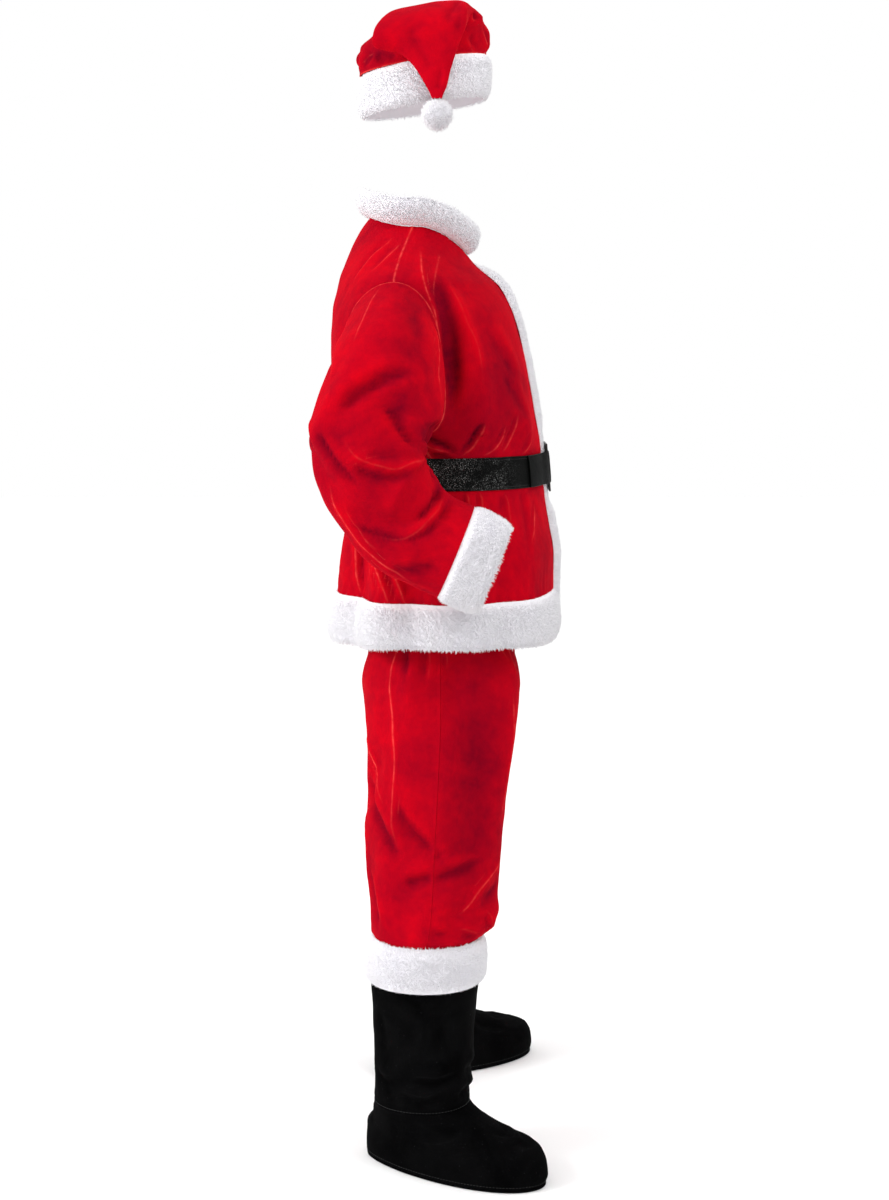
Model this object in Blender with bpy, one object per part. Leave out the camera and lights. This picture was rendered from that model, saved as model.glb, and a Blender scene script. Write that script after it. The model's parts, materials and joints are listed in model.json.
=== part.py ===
"""A worn santa suit in cloth: hat, jacket with its belt, trousers and fur-topped boot covers.

Everything is in metres, with heights counted from the soles and moved down by NECK_HEIGHT at the
end, so that the origin lies in the middle of the neck, where the wearer's shoulders hold the suit.
The suit faces -Y, the wearer's right is -X and +Z is up. Each cut piece of cloth is one closed
wall, worked out as a smooth surface that is sampled on a grid and given its thickness.
"""
import math
from collections import namedtuple

import bpy
import numpy as np

# ---------------------------------------------------------------- driving sizes
NECK_HEIGHT = 1.500        # origin above the soles

CLOTH = 0.0020             # velvet and its backing
SEAM_GAP = 0.0003          # between the edges of two sewn pieces
LAY_GAP = 0.0006           # between a piece and the cloth that it lies on
FUR = 0.0130               # depth of the plush trim

HEM = 0.836                # lower edge of the jacket's plush band in front and behind
HEM_RISE = 0.009           # how much higher that edge runs at the sides
HEM_SEAM = 0.913           # where the band meets the velvet
BELT_BOTTOM = 1.085
BELT_TOP = 1.136
STRAP = 0.0022             # belt strap's thickness
ARMPIT = 1.171             # lowest and highest point of the armhole
SHOULDER = 1.405
NECK_SEAM = 1.497          # neckline at the side of the neck
NECK_DROP = 0.042          # how far the neckline dips in front
NECK_RISE = 0.018          # and climbs behind
ARMHOLE_FRONT = 0.073      # armhole's reach in front of and behind the side seam
ARMHOLE_BACK = 0.085
ARMHOLE_STEPS = 9          # rows along half of the armhole, so half the sleeve's columns
PANEL_RADIUS = 0.22        # mean distance of the jacket's side seams from its middle
SLEEVE_SET = 0.0005        # how far outside the armhole's edge the sleeve starts
CUFF_BULGE = 0.004         # how much further out than the sleeve the cuff's plush stands

PLACKET_COLUMNS = (0.0, 0.018, 0.034, 0.045)   # across half of the front plush strip
PRESSED = 0.0042           # the strip's plush where the belt presses it flat
COLLAR_HEIGHT = 0.044
COLLAR_LEAN = 0.012        # how far out its upper edge leans
COLLAR_OPENING = 5.0       # degrees on each side of the centre front
COLLAR_COLUMNS = 23

CROTCH = 0.765
RISE_START = 0.900         # centre seams curve under the seat from here down to the crotch
WAIST = 1.060
WAISTBAND = 0.036
LEG_COLUMNS = 16           # columns round a trouser leg, a boot shaft and its plush band

BOOT_TOP = 0.367
SHAFT_TOP = 0.296
ANKLE = 0.102
SOLE = 0.003
BOOT_X = 0.210             # shaft's middle from the body's centre plane
FOOT_LENGTH = 0.318
FOOT_SPLAY = math.radians(28)
SHAFT_Y = -0.004           # shaft's middle, from front to back
HEEL = (-0.1680, 0.0920)   # backmost point of the right sole
SOLE_HALF_WIDTH = 0.066    # at the middle of the foot; the toe end is wider by SOLE_FLARE
SOLE_FLARE = 0.010
SOLE_INSET = 0.0006        # the sole's edge, inside the foot's

HAT_BAND = 0.066           # height of the hat's plush band
HAT_SEAM = 1.7565          # band's top edge at the middle of the head
HAT_SLOPE = 0.160          # the hat sits higher in front
HAT_BLUNT = 0.76           # the flap's rings: 1 makes them ellipses, less makes their ends blunter
HAT_HALF_WIDTH = 0.083     # inside the band, across and from front to back
HAT_HALF_LENGTH = 0.096
POMPOM = 0.0225            # radius of the ball without its locks
POMPOM_LOCK = 0.0035       # how far its locks stand out
POMPOM_PLACE = (-0.1245, -0.0210, 1.6660)

Side = namedtuple("Side", "name sign")
RIGHT = Side("right", -1.0)
LEFT = Side("left", 1.0)

# ---------------------------------------------------------------- finishes
Finish = namedtuple("Finish", "name colour roughness metallic")
VELVET = Finish("red_velvet", (0.60, 0.005, 0.012), 0.80, 0.0)
PLUSH = Finish("white_plush", (0.86, 0.85, 0.90), 0.95, 0.0)
STRAP_BLACK = Finish("belt_black", (0.012, 0.013, 0.012), 0.45, 0.0)
BUCKLE_BLACK = Finish("buckle_black", (0.01, 0.01, 0.01), 0.35, 0.0)
BOOT_BLACK = Finish("boot_black", (0.008, 0.008, 0.009), 0.90, 0.0)

# ---------------------------------------------------------------- tables, a row for each section
Section = namedtuple("Section", "height half_width side_y front_y back_y squareness")
BODY = (
    Section(0.836, 0.272, -0.030, -0.213, 0.146, 2.2),
    Section(0.913, 0.263, -0.030, -0.212, 0.141, 2.2),
    Section(0.970, 0.252, -0.030, -0.213, 0.136, 2.2),
    Section(1.020, 0.240, -0.028, -0.205, 0.131, 2.2),
    Section(1.070, 0.222, -0.025, -0.197, 0.128, 2.2),
    Section(1.112, 0.214, -0.022, -0.1935, 0.127, 2.2),
    Section(1.155, 0.224, 0.000, -0.189, 0.134, 2.3),
    Section(1.200, 0.237, 0.018, -0.180, 0.146, 2.5),
    Section(1.250, 0.238, 0.034, -0.171, 0.151, 2.6),
    Section(1.300, 0.238, 0.043, -0.161, 0.152, 2.5),
    Section(1.350, 0.237, 0.045, -0.149, 0.150, 2.2),
    Section(1.405, 0.225, 0.045, -0.127, 0.140, 1.8),
    Section(1.440, 0.176, 0.038, -0.108, 0.127, 1.75),
    Section(1.470, 0.126, 0.028, -0.089, 0.110, 1.85),
    Section(1.497, 0.088, 0.018, -0.070, 0.090, 2.0),
)

# Flutes of the skirt below the belt: where round the body, how wide, how far out (+) or in (-).
Flute = namedtuple("Flute", "angle width depth")
FLUTES = (
    Flute(-158, 13, 0.009), Flute(-140, 9, -0.011), Flute(-122, 12, 0.012), Flute(-104, 9, -0.009),
    Flute(-84, 13, 0.008), Flute(-63, 9, -0.008), Flute(-44, 12, 0.005), Flute(38, 12, 0.005),
    Flute(58, 9, -0.008), Flute(78, 13, 0.009), Flute(100, 9, -0.011), Flute(119, 12, 0.012),
    Flute(137, 9, -0.009), Flute(160, 13, 0.008), Flute(179, 8, -0.008),
)

# Soft troughs and ridges of the upper jacket. Angles are in degrees round the body, 0 in front and
# + to the wearer's left; lean is in degrees per metre of height.
Fold = namedtuple("Fold", "angle height lean length width depth")
BODY_FOLDS = (
    Fold(-72, 1.270, 60, 0.150, 5, -0.011), Fold(-60, 1.230, 90, 0.120, 6, 0.007),
    Fold(72, 1.270, -60, 0.150, 5, -0.011), Fold(60, 1.230, -90, 0.120, 6, 0.007),
    Fold(-45, 1.170, 120, 0.070, 7, -0.006), Fold(-30, 1.175, 60, 0.060, 6, 0.006),
    Fold(40, 1.170, -120, 0.070, 7, -0.006), Fold(27, 1.180, -60, 0.060, 6, 0.005),
    Fold(-130, 1.260, -80, 0.200, 9, -0.009), Fold(130, 1.260, 80, 0.200, 9, -0.009),
    Fold(-160, 1.180, -60, 0.090, 8, 0.007), Fold(164, 1.175, 60, 0.090, 8, 0.007),
    Fold(180, 1.200, 0, 0.120, 8, -0.007), Fold(-105, 1.170, 60, 0.060, 7, 0.006),
)

# Sleeve rings from the armhole to the cuff, for the wearer's right arm: the ring's middle, then
# its half reach to the front and its half reach outwards.
ArmRing = namedtuple("ArmRing", "along x y z front_y front_z out_x out_z")
ARM = (
    ArmRing(0, -0.232, 0.050, 1.288, -0.079, 0.000, -0.002, 0.117),
    ArmRing(1, -0.284, 0.058, 1.252, -0.091, 0.004, -0.040, 0.088),
    ArmRing(2, -0.307, 0.065, 1.217, -0.097, 0.004, -0.050, 0.070),
    ArmRing(3, -0.317, 0.071, 1.187, -0.098, 0.003, -0.060, 0.045),
    ArmRing(4, -0.325, 0.076, 1.161, -0.093, 0.000, -0.065, 0.025),
    ArmRing(5, -0.331, 0.077, 1.138, -0.087, 0.012, -0.067, 0.008),
    ArmRing(6, -0.334, 0.071, 1.110, -0.078, 0.027, -0.066, 0.000),
    ArmRing(7, -0.335, 0.053, 1.078, -0.063, 0.046, -0.064, -0.002),
    ArmRing(8, -0.336, 0.025, 1.048, -0.046, 0.064, -0.062, -0.003),
    ArmRing(9, -0.337, -0.008, 1.023, -0.035, 0.064, -0.060, 0.000),
    ArmRing(10, -0.337, -0.049, 1.003, -0.028, 0.068, -0.058, 0.000),
    ArmRing(11, -0.333, -0.107, 0.976, -0.027, 0.067, -0.056, 0.000),
)
CUFF_START = 10.0
CUFF_END = 11.0

# Folds of a sleeve: degrees round the arm (0 outside, 90 in front, 180 inside, 270 behind).
ArmFold = namedtuple("ArmFold", "around along lean length width depth")
ARM_FOLDS = (
    ArmFold(60, 2.2, -14, 2.6, 14, -0.008), ArmFold(15, 3.3, 20, 2.4, 16, -0.009),
    ArmFold(320, 3.0, -16, 2.6, 15, 0.008), ArmFold(300, 5.2, 18, 2.0, 14, -0.008),
    ArmFold(75, 4.9, 30, 1.4, 15, -0.006), ArmFold(35, 6.3, -24, 1.8, 13, 0.008),
    ArmFold(100, 6.9, 20, 1.2, 14, 0.005), ArmFold(350, 7.4, 26, 2.0, 14, -0.009),
    ArmFold(60, 8.4, -20, 1.8, 13, -0.007), ArmFold(300, 8.6, 12, 2.6, 12, 0.007),
    ArmFold(150, 8.8, 14, 2.0, 15, -0.007), ArmFold(210, 4.4, 10, 2.4, 16, -0.007),
)

# Trouser legs: how far out from the centre plane each leg's outer and inner side lie.
LegRow = namedtuple("LegRow", "height outer inner front_y back_y side_y inseam_y")
LEG = (
    LegRow(0.322, 0.2835, 0.1365, -0.0835, 0.0750, -0.004, -0.004),
    LegRow(0.3675, 0.2880, 0.1320, -0.0872, 0.0788, -0.004, -0.004),
    LegRow(0.376, 0.2960, 0.1250, -0.0990, 0.0850, -0.006, -0.006),
    LegRow(0.392, 0.2960, 0.1230, -0.1060, 0.0860, -0.008, -0.008),
    LegRow(0.430, 0.2890, 0.1110, -0.1170, 0.0880, -0.012, -0.010),
    LegRow(0.505, 0.2740, 0.0830, -0.1270, 0.0930, -0.016, -0.012),
    LegRow(0.585, 0.2640, 0.0620, -0.1350, 0.0930, -0.020, -0.014),
    LegRow(0.665, 0.2550, 0.0420, -0.1440, 0.0920, -0.024, -0.016),
    LegRow(0.720, 0.2490, 0.0240, -0.1500, 0.0930, -0.026, -0.018),
    LegRow(0.765, 0.2430, 0.0003, -0.1540, 0.0980, -0.026, -0.020),
    LegRow(0.830, 0.2340, 0.0003, -0.1580, 0.1050, -0.026, -0.020),
    LegRow(0.900, 0.2210, 0.0003, -0.1540, 0.1160, -0.024, -0.020),
    LegRow(0.980, 0.2030, 0.0003, -0.1420, 0.1170, -0.018, -0.018),
    LegRow(1.060, 0.1800, 0.0003, -0.1250, 0.1060, -0.010, -0.010),
)

# Folds of a trouser leg: degrees round it, 0 at the outseam, 90 in front, 180 at the inseam.
LEG_FOLDS = (
    Fold(-70, 0.625, 260, 0.100, 13, -0.011), Fold(60, 0.700, 60, 0.260, 14, 0.008),
    Fold(30, 0.600, -30, 0.300, 12, -0.007), Fold(-40, 0.520, 80, 0.240, 14, 0.008),
    Fold(95, 0.500, -40, 0.260, 13, -0.008), Fold(70, 0.405, 40, 0.060, 16, 0.008),
    Fold(20, 0.410, 80, 0.060, 14, -0.007), Fold(-110, 0.440, -70, 0.160, 15, -0.008),
    Fold(130, 0.620, 50, 0.260, 15, -0.007), Fold(10, 0.800, 20, 0.130, 10, -0.008),
    Fold(-25, 0.800, -20, 0.130, 10, 0.007), Fold(-120, 0.720, 30, 0.150, 14, -0.008),
)

# Plush band and shaft of a boot cover: half widths of its outer form round the leg.
ShaftRow = namedtuple("ShaftRow", "height half_width front_y back_y")
SHAFT = (
    ShaftRow(0.102, 0.0700, -0.0730, 0.0810),
    ShaftRow(0.125, 0.0715, -0.0745, 0.0800),
    ShaftRow(0.185, 0.0750, -0.0780, 0.0810),
    ShaftRow(0.240, 0.0765, -0.0820, 0.0825),
    ShaftRow(0.296, 0.0785, -0.0870, 0.0850),
    ShaftRow(0.367, 0.0785, -0.0878, 0.0794),
)

# A boot's foot rises from the sole's outline to the ankle seam: how far in and how far up.
FootRow = namedtuple("FootRow", "inward upward")
FOOT = (
    FootRow(0.020, 0.00), FootRow(-0.015, 0.13), FootRow(0.000, 0.32), FootRow(0.070, 0.50),
    FootRow(0.250, 0.61), FootRow(0.500, 0.73), FootRow(0.780, 0.88), FootRow(1.000, 1.00),
)

# Hat rings from the band over the top and down to the tip, which hangs at the wearer's right. The
# inner point is the side that faces the head's right, the outer point the side that turns over.
HatRing = namedtuple("HatRing", "along inner_x inner_z outer_x outer_z back_y front_y slope")
HAT = (
    HatRing(0, -0.0870, 1.7568, 0.0870, 1.7568, 0.1050, -0.1000, 0.160),
    HatRing(1, -0.0900, 1.7740, 0.0895, 1.7830, 0.1060, -0.0990, 0.160),
    HatRing(2, -0.0890, 1.7900, 0.0810, 1.8120, 0.0990, -0.0980, 0.165),
    HatRing(3, -0.0885, 1.7980, 0.0540, 1.8350, 0.0820, -0.0910, 0.175),
    HatRing(4, -0.0925, 1.8000, 0.0100, 1.8465, 0.0740, -0.0820, 0.180),
    HatRing(5, -0.0985, 1.7945, -0.0460, 1.8465, 0.0700, -0.0750, 0.180),
    HatRing(6, -0.1005, 1.7850, -0.0910, 1.8310, 0.0770, -0.0690, 0.170),
    HatRing(7, -0.1015, 1.7750, -0.1160, 1.8030, 0.0800, -0.0620, 0.140),
    HatRing(8, -0.1040, 1.7590, -0.1220, 1.7740, 0.0380, -0.0530, 0.100),
    HatRing(9, -0.1080, 1.7310, -0.1270, 1.7390, 0.0110, -0.0430, 0.050),
    HatRing(10, -0.1140, 1.7080, -0.1300, 1.7110, -0.0030, -0.0350, 0.000),
    HatRing(11, -0.1190, 1.6900, -0.1300, 1.6905, -0.0130, -0.0280, 0.000),
)

# Crumples of the hat: degrees round the ring (0 outside, 90 in front, 180 inside, 270 behind).
HAT_FOLDS = (
    ArmFold(70, 2.4, 18, 1.4, 12, -0.010), ArmFold(95, 1.2, 8, 1.2, 12, 0.007),
    ArmFold(110, 2.8, -20, 1.4, 11, 0.006), ArmFold(60, 0.9, 20, 1.0, 14, -0.005),
    ArmFold(275, 1.8, -12, 1.6, 16, 0.006), ArmFold(300, 2.6, 20, 1.6, 14, -0.007),
    ArmFold(30, 3.6, 24, 2.0, 14, -0.006), ArmFold(40, 7.0, 10, 3.0, 16, -0.005),
    ArmFold(330, 5.0, -16, 2.4, 18, 0.005),
)


# ---------------------------------------------------------------- curves and surfaces
def smooth_curve(keys, values, at):
    """Monotone cubic through rising keys; beyond both ends it goes on straight."""
    keys = np.asarray(keys, float)
    values = np.asarray(values, float)
    at = np.asarray(at, float)
    step = np.diff(keys)
    slope = np.diff(values) / step
    product = slope[:-1] * slope[1:]
    total = np.where(product > 0, slope[:-1] + slope[1:], 1.0)
    tangent = np.concatenate([slope[:1], np.where(product > 0, 2 * product / total, 0.0), slope[-1:]])
    index = np.clip(np.searchsorted(keys, at, side="right") - 1, 0, len(step) - 1)
    part = np.clip((at - keys[index]) / step[index], 0.0, 1.0)
    start = values[index] * (1 + 2 * part) + tangent[index] * step[index] * part
    end = values[index + 1] * (3 - 2 * part) - tangent[index + 1] * step[index] * (1 - part)
    inside = start * (1 - part) ** 2 + end * part ** 2
    below = np.minimum(at - keys[0], 0.0) * tangent[0]
    above = np.maximum(at - keys[-1], 0.0) * tangent[-1]
    return inside + below + above


def column(table, name, at):
    """One named column of a table, read smoothly along the table's first column."""
    keys = [row[0] for row in table]
    values = [getattr(row, name) for row in table]
    return smooth_curve(keys, values, at)


def ease(low, high, at):
    """0 below low, 1 above high and a smooth step between."""
    part = np.clip((np.asarray(at, float) - low) / (high - low), 0.0, 1.0)
    return part * part * (3 - 2 * part)


def signed_power(base, exponent):
    """Power of the size of base, with base's own sign."""
    return np.sign(base) * np.abs(base) ** exponent


def turn_between(angle, other):
    """Difference of two angles in degrees, from -180 to 180."""
    return (angle - other + 180.0) % 360.0 - 180.0


def fold_depth(folds, angle, place):
    """Sum of the soft troughs and ridges at angles and places along the piece."""
    total = np.zeros(np.broadcast(angle, place).shape)
    for fold in folds:
        middle, along = fold[0], fold[1]
        off = place - along
        across = turn_between(angle, middle + fold.lean * off) / fold.width
        reach = off / (0.5 * fold.length)
        total = total + fold.depth * np.exp(-across ** 2 - reach ** 4)
    return total


def pushed_out(points, middle, depth):
    """Points moved away from the middle of their ring."""
    out = points - middle
    return points + out / np.linalg.norm(out, axis=-1, keepdims=True) * depth[..., None]


def stacked(x, y, z):
    """Points from their three coordinates."""
    return np.stack(np.broadcast_arrays(x, y, z), axis=-1)


def normals(surface, around, along, turn=0.5, step=0.002, flip=1.0):
    """Unit normals of a surface, from short steps both ways."""
    across = surface(around + turn, along) - surface(around - turn, along)
    onward = surface(around, along + step) - surface(around, along - step)
    normal = np.cross(across, onward) * flip
    return normal / np.linalg.norm(normal, axis=-1, keepdims=True)


# ---------------------------------------------------------------- meshes
def finish_material(finish):
    """The Principled material of a finish, made once."""
    material = bpy.data.materials.get(finish.name)
    if material is None:
        material = bpy.data.materials.new(finish.name)
        material.use_nodes = True
        shader = material.node_tree.nodes["Principled BSDF"]
        shader.inputs["Base Color"].default_value = (*finish.colour, 1.0)
        shader.inputs["Roughness"].default_value = finish.roughness
        shader.inputs["Metallic"].default_value = finish.metallic
    return material


def signed_volume(points, triangles):
    """Volume inside the triangles, above zero where they face outwards."""
    first, second, third = (points[triangles[:, corner]] for corner in range(3))
    return np.einsum("ij,ij->i", first, np.cross(second, third)).sum() / 6.0


def add_piece(name, points, triangles, finish):
    """A mesh object with its faces outwards and the neck's middle at the origin."""
    points = points - np.array([0.0, 0.0, NECK_HEIGHT])
    triangles = np.asarray(triangles)
    if signed_volume(points, triangles) < 0:
        triangles = triangles[:, ::-1]
    mesh = bpy.data.meshes.new(name)
    mesh.from_pydata(points.tolist(), [], triangles.tolist())
    mesh.update()
    mesh.materials.append(finish_material(finish))
    piece = bpy.data.objects.new(name, mesh)
    bpy.context.scene.collection.objects.link(piece)
    return piece


def grid_triangles(rows, columns, closed, first=0):
    """Two triangles for each cell of a grid, cut along the same diagonal everywhere."""
    triangles = []
    for row in range(rows - 1):
        for cell in range(columns if closed else columns - 1):
            after = (cell + 1) % columns
            a, b = first + row * columns + cell, first + row * columns + after
            c, d = a + columns, b + columns
            triangles += [(a, b, d), (a, d, c)]
    return triangles


def strip_triangles(outer_edge, inner_edge, closed):
    """The rim between an outer and an inner row of point numbers."""
    count = len(outer_edge)
    triangles = []
    for cell in range(count if closed else count - 1):
        after = (cell + 1) % count
        a, b = outer_edge[cell], outer_edge[after]
        c, d = inner_edge[cell], inner_edge[after]
        triangles += [(b, a, c), (b, c, d)]
    return triangles


def slab(name, outer, inner, finish, closed=False):
    """The closed wall between two grids of points; closed joins the last column to the first."""
    rows, columns = outer.shape[:2]
    count = rows * columns
    triangles = grid_triangles(rows, columns, closed)
    triangles += [face[::-1] for face in grid_triangles(rows, columns, closed, count)]
    number = np.arange(count).reshape(rows, columns)
    triangles += strip_triangles(number[0], number[0] + count, closed)
    triangles += strip_triangles(number[-1][::-1], number[-1][::-1] + count, closed)
    if not closed:
        triangles += strip_triangles(number[::-1, 0], number[::-1, 0] + count, False)
        triangles += strip_triangles(number[:, -1], number[:, -1] + count, False)
    points = np.concatenate([outer.reshape(-1, 3), inner.reshape(-1, 3)])
    return add_piece(name, points, triangles, finish)


def mirrored(points, side):
    """Points made for the wearer's right, moved to the side that is asked for."""
    return points if side is RIGHT else points * np.array([-1.0, 1.0, 1.0])


# ---------------------------------------------------------------- jacket
def body_surface(angle, height):
    """The jacket's outer face: angle 0 is the centre front, + goes to the wearer's left."""
    squareness = 2.0 / column(BODY, "squareness", height)
    side_y = column(BODY, "side_y", height)
    front = side_y - column(BODY, "front_y", height)
    back = column(BODY, "back_y", height) - side_y
    sine = np.sin(np.radians(angle))
    cosine = np.cos(np.radians(angle))
    reach = np.where(cosine > 0, front, back)
    skirt = 1.0 - ease(0.955, BELT_BOTTOM - 0.004, height)
    flutes = sum(f.depth * np.exp(-(turn_between(angle, f.angle) / f.width) ** 2) for f in FLUTES)
    out = skirt * flutes + fold_depth(BODY_FOLDS, angle, height)
    x = column(BODY, "half_width", height) * signed_power(sine, squareness) + out * sine
    y = side_y - reach * signed_power(cosine, squareness) - out * cosine
    near_neck = ease(SHOULDER - 0.02, NECK_SEAM, height) * cosine ** 2
    z = height + near_neck * np.where(cosine > 0, -NECK_DROP, NECK_RISE)
    return stacked(x, y, z)


def angle_at(distance, height):
    """The angle in front at which the jacket is a distance out from the centre front."""
    share = distance / column(BODY, "half_width", height)
    return np.degrees(np.arcsin(share ** (column(BODY, "squareness", height) / 2.0)))


def armhole_angle(height, reach_name):
    """The angle from the centre front or back to the panel's side edge at a height."""
    turn = np.arccos(np.clip((2 * height - SHOULDER - ARMPIT) / (SHOULDER - ARMPIT), -1.0, 1.0))
    opening = np.sin(turn) * (ARMHOLE_FRONT if reach_name == "front_y" else ARMHOLE_BACK)
    reach = np.abs(column(BODY, "side_y", height) - column(BODY, reach_name, height))
    squareness = column(BODY, "squareness", height)
    return np.degrees(np.arccos((opening / reach) ** (squareness / 2.0)))


def jacket_heights():
    """Rows of the jacket's panels: even steps, the armhole's own steps, then the shoulder."""
    skirt = (HEM_SEAM + SEAM_GAP, 0.945, 0.980, 1.015, 1.050, BELT_BOTTOM)
    waist = (0.5 * (BELT_BOTTOM + BELT_TOP), BELT_TOP, 1.153)
    turns = np.linspace(math.pi, 0.0, ARMHOLE_STEPS + 1)
    armhole = 0.5 * (SHOULDER + ARMPIT) + 0.5 * (SHOULDER - ARMPIT) * np.cos(turns)
    shoulder = (1.425, 1.447, 1.466, 1.483, NECK_SEAM)
    return np.concatenate([skirt, waist, armhole, shoulder])


FRONT_SHARES = (0.14, 0.30, 0.46, 0.62, 0.78, 0.90, 1.0)    # from the placket's edge to the side
BACK_SHARES = (0.0, 0.12, 0.26, 0.41, 0.56, 0.70, 0.84, 0.93, 1.0)


def front_angles(heights):
    """Angles of a front panel's points, a row for each height."""
    placket = [angle_at(distance, heights) for distance in PLACKET_COLUMNS]
    edge = armhole_angle(heights, "front_y")
    rest = [placket[-1] + (edge - placket[-1]) * share for share in FRONT_SHARES]
    return np.stack(placket + rest, axis=1)


def back_angles(heights):
    """Angles of half the back panel, counted from the centre back."""
    edge = armhole_angle(heights, "back_y")
    return np.stack([edge * share for share in BACK_SHARES], axis=1)


def lifted(angles, heights, distance):
    """The jacket's points moved out along its normals; the armhole's edges come with them."""
    heights = np.asarray(heights)
    grid = np.broadcast_to(heights[:, None] if heights.ndim == 1 else heights, angles.shape)
    points = body_surface(angles, grid)
    return points + normals(body_surface, angles, grid) * distance


def jacket_panel(name, angles, heights):
    """A panel of the jacket, with half a seam's gap taken off both side edges."""
    half_gap = np.zeros(angles.shape)
    half_gap[:, 0], half_gap[:, -1] = 1.0, -1.0
    angles = angles + np.degrees(half_gap * 0.6 * SEAM_GAP / PANEL_RADIUS)
    slab(name, lifted(angles, heights, 0.0), lifted(angles, heights, -CLOTH), VELVET)


def jacket():
    """Two fronts and a back, open at the neck, the armholes and the hem."""
    heights = jacket_heights()
    fronts = front_angles(heights)
    jacket_panel("jacket_front_left", fronts, heights)
    jacket_panel("jacket_front_right", -fronts[:, ::-1], heights)
    half = back_angles(heights)
    whole = np.concatenate([180.0 - half[:, ::-1], 180.0 + half[:, 1:]], axis=1)
    jacket_panel("jacket_back", whole, heights)


PlushRow = namedtuple("PlushRow", "place depth")
HEM_ROWS = (
    PlushRow(0.00, 0.20), PlushRow(0.13, 0.80), PlushRow(0.40, 1.00), PlushRow(0.72, 0.90),
    PlushRow(0.93, 0.55), PlushRow(1.00, 0.10),
)


def hem_band():
    """Plush band of the hem, from one side of the placket round the back to the other."""
    places = np.array([row.place for row in HEM_ROWS])
    heights = HEM + (HEM_SEAM - HEM) * places
    placket_edge = angle_at(PLACKET_COLUMNS[-1] + 0.0012, heights)
    fronts = front_angles(heights)[:, len(PLACKET_COLUMNS):]
    half = back_angles(heights)
    right_half = np.concatenate([placket_edge[:, None], fronts, 180.0 - half[:, -2::-1]], axis=1)
    angles = np.concatenate([right_half, 360.0 - right_half[:, -2::-1]], axis=1)
    rise = HEM_RISE * np.sin(np.radians(angles)) ** 2 * (1.0 - places[:, None])
    depth = np.array([row.depth for row in HEM_ROWS])[:, None, None] * FUR
    grid = heights[:, None] + rise
    slab("hem_band", lifted(angles, grid, depth), lifted(angles, grid, -CLOTH), PLUSH)


PlacketRow = namedtuple("PlacketRow", "height depth")
PLACKET = (
    PlacketRow(0.836, 0.0050), PlacketRow(0.850, 0.0115), PlacketRow(1.030, 0.0120),
    PlacketRow(1.066, PRESSED), PlacketRow(1.158, PRESSED), PlacketRow(1.195, 0.0110),
    PlacketRow(1.430, 0.0110), PlacketRow(1.486, 0.0040),
)
PLACKET_EDGE = (1.0, 1.0, 0.85, 0.25)       # how much of its depth each column has


def placket_depth(heights):
    """Depth of the front strip's plush, pressed flat under the belt and its buckle."""
    return column(PLACKET, "depth", heights)


def placket():
    """Plush strip over the centre front, where the fronts close under it."""
    rows = jacket_heights()
    own = (HEM, 0.850, 0.880, 1.068, 1.156)
    heights = np.sort(np.concatenate([own, rows[rows < NECK_SEAM - 0.02]]))
    half = np.stack([angle_at(distance, heights) for distance in PLACKET_COLUMNS], axis=1)
    angles = np.concatenate([-half[:, :0:-1], half], axis=1)
    share = np.array(PLACKET_EDGE[:0:-1] + PLACKET_EDGE)
    depth = (placket_depth(heights)[:, None] * share)[..., None]
    slab("placket", lifted(angles, heights, LAY_GAP + depth), lifted(angles, heights, LAY_GAP), PLUSH)


def neck_surface(angle, up):
    """The collar's inner face: a low stand that leans out a little."""
    edge = body_surface(angle, np.full(np.shape(angle), NECK_SEAM))
    lean = up * COLLAR_LEAN
    x = edge[..., 0] + lean * np.sin(np.radians(angle))
    y = edge[..., 1] - lean * np.cos(np.radians(angle))
    return stacked(x, y, edge[..., 2] + up * COLLAR_HEIGHT)


COLLAR_ROWS = (
    PlushRow(0.03, 0.25), PlushRow(0.20, 0.80), PlushRow(0.50, 1.00), PlushRow(0.82, 0.85),
    PlushRow(1.00, 0.25),
)


def collar():
    """Plush stand collar, open in front."""
    around = np.linspace(COLLAR_OPENING, 360.0 - COLLAR_OPENING, COLLAR_COLUMNS)[None, :]
    up = np.array([row.place for row in COLLAR_ROWS])[:, None]
    around, up = np.broadcast_arrays(around, up)
    points = neck_surface(around, up)
    outward = stacked(np.sin(np.radians(around)), -np.cos(np.radians(around)), 0.0)
    depth = np.array([row.depth for row in COLLAR_ROWS])[:, None, None] * FUR
    slab("collar", points + outward * depth, points - outward * CLOTH, PLUSH)


# ---------------------------------------------------------------- belt
BUCKLE_WIDTH = 0.087
BUCKLE_HEIGHT = 0.078
BUCKLE_BAR = 0.010
BUCKLE_THICKNESS = 0.0030
MIDDLE_BAR = 0.004         # half the width of the bar that the strap's end turns round
BELT_REST = 0.075          # the strap has come down to the velvet this far from the centre front
WEAVE = 0.0058             # how far the strap comes forward over the buckle's middle bar


def belt_lift(angles, heights):
    """How far the strap's inner face stands off the velvet, over the placket too."""
    distance = np.abs(body_surface(angles, heights)[..., 0])
    front = np.cos(np.radians(angles)) > 0
    over = (1.0 - ease(PLACKET_COLUMNS[-1], BELT_REST, distance)) * (PRESSED + LAY_GAP)
    weave = (1.0 - ease(PLACKET_COLUMNS[1], PLACKET_COLUMNS[2], distance)) * WEAVE
    return LAY_GAP + np.where(front, over + weave, 0.0)


def belt_angles(heights):
    """The jacket's own columns round the waist, from the centre back to the centre back."""
    fronts = front_angles(heights)
    half = back_angles(heights)
    left_half = np.concatenate([fronts, 180.0 - half[:, -2::-1]], axis=1)
    return np.concatenate([-left_half[:, -2:0:-1], left_half], axis=1)


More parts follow.
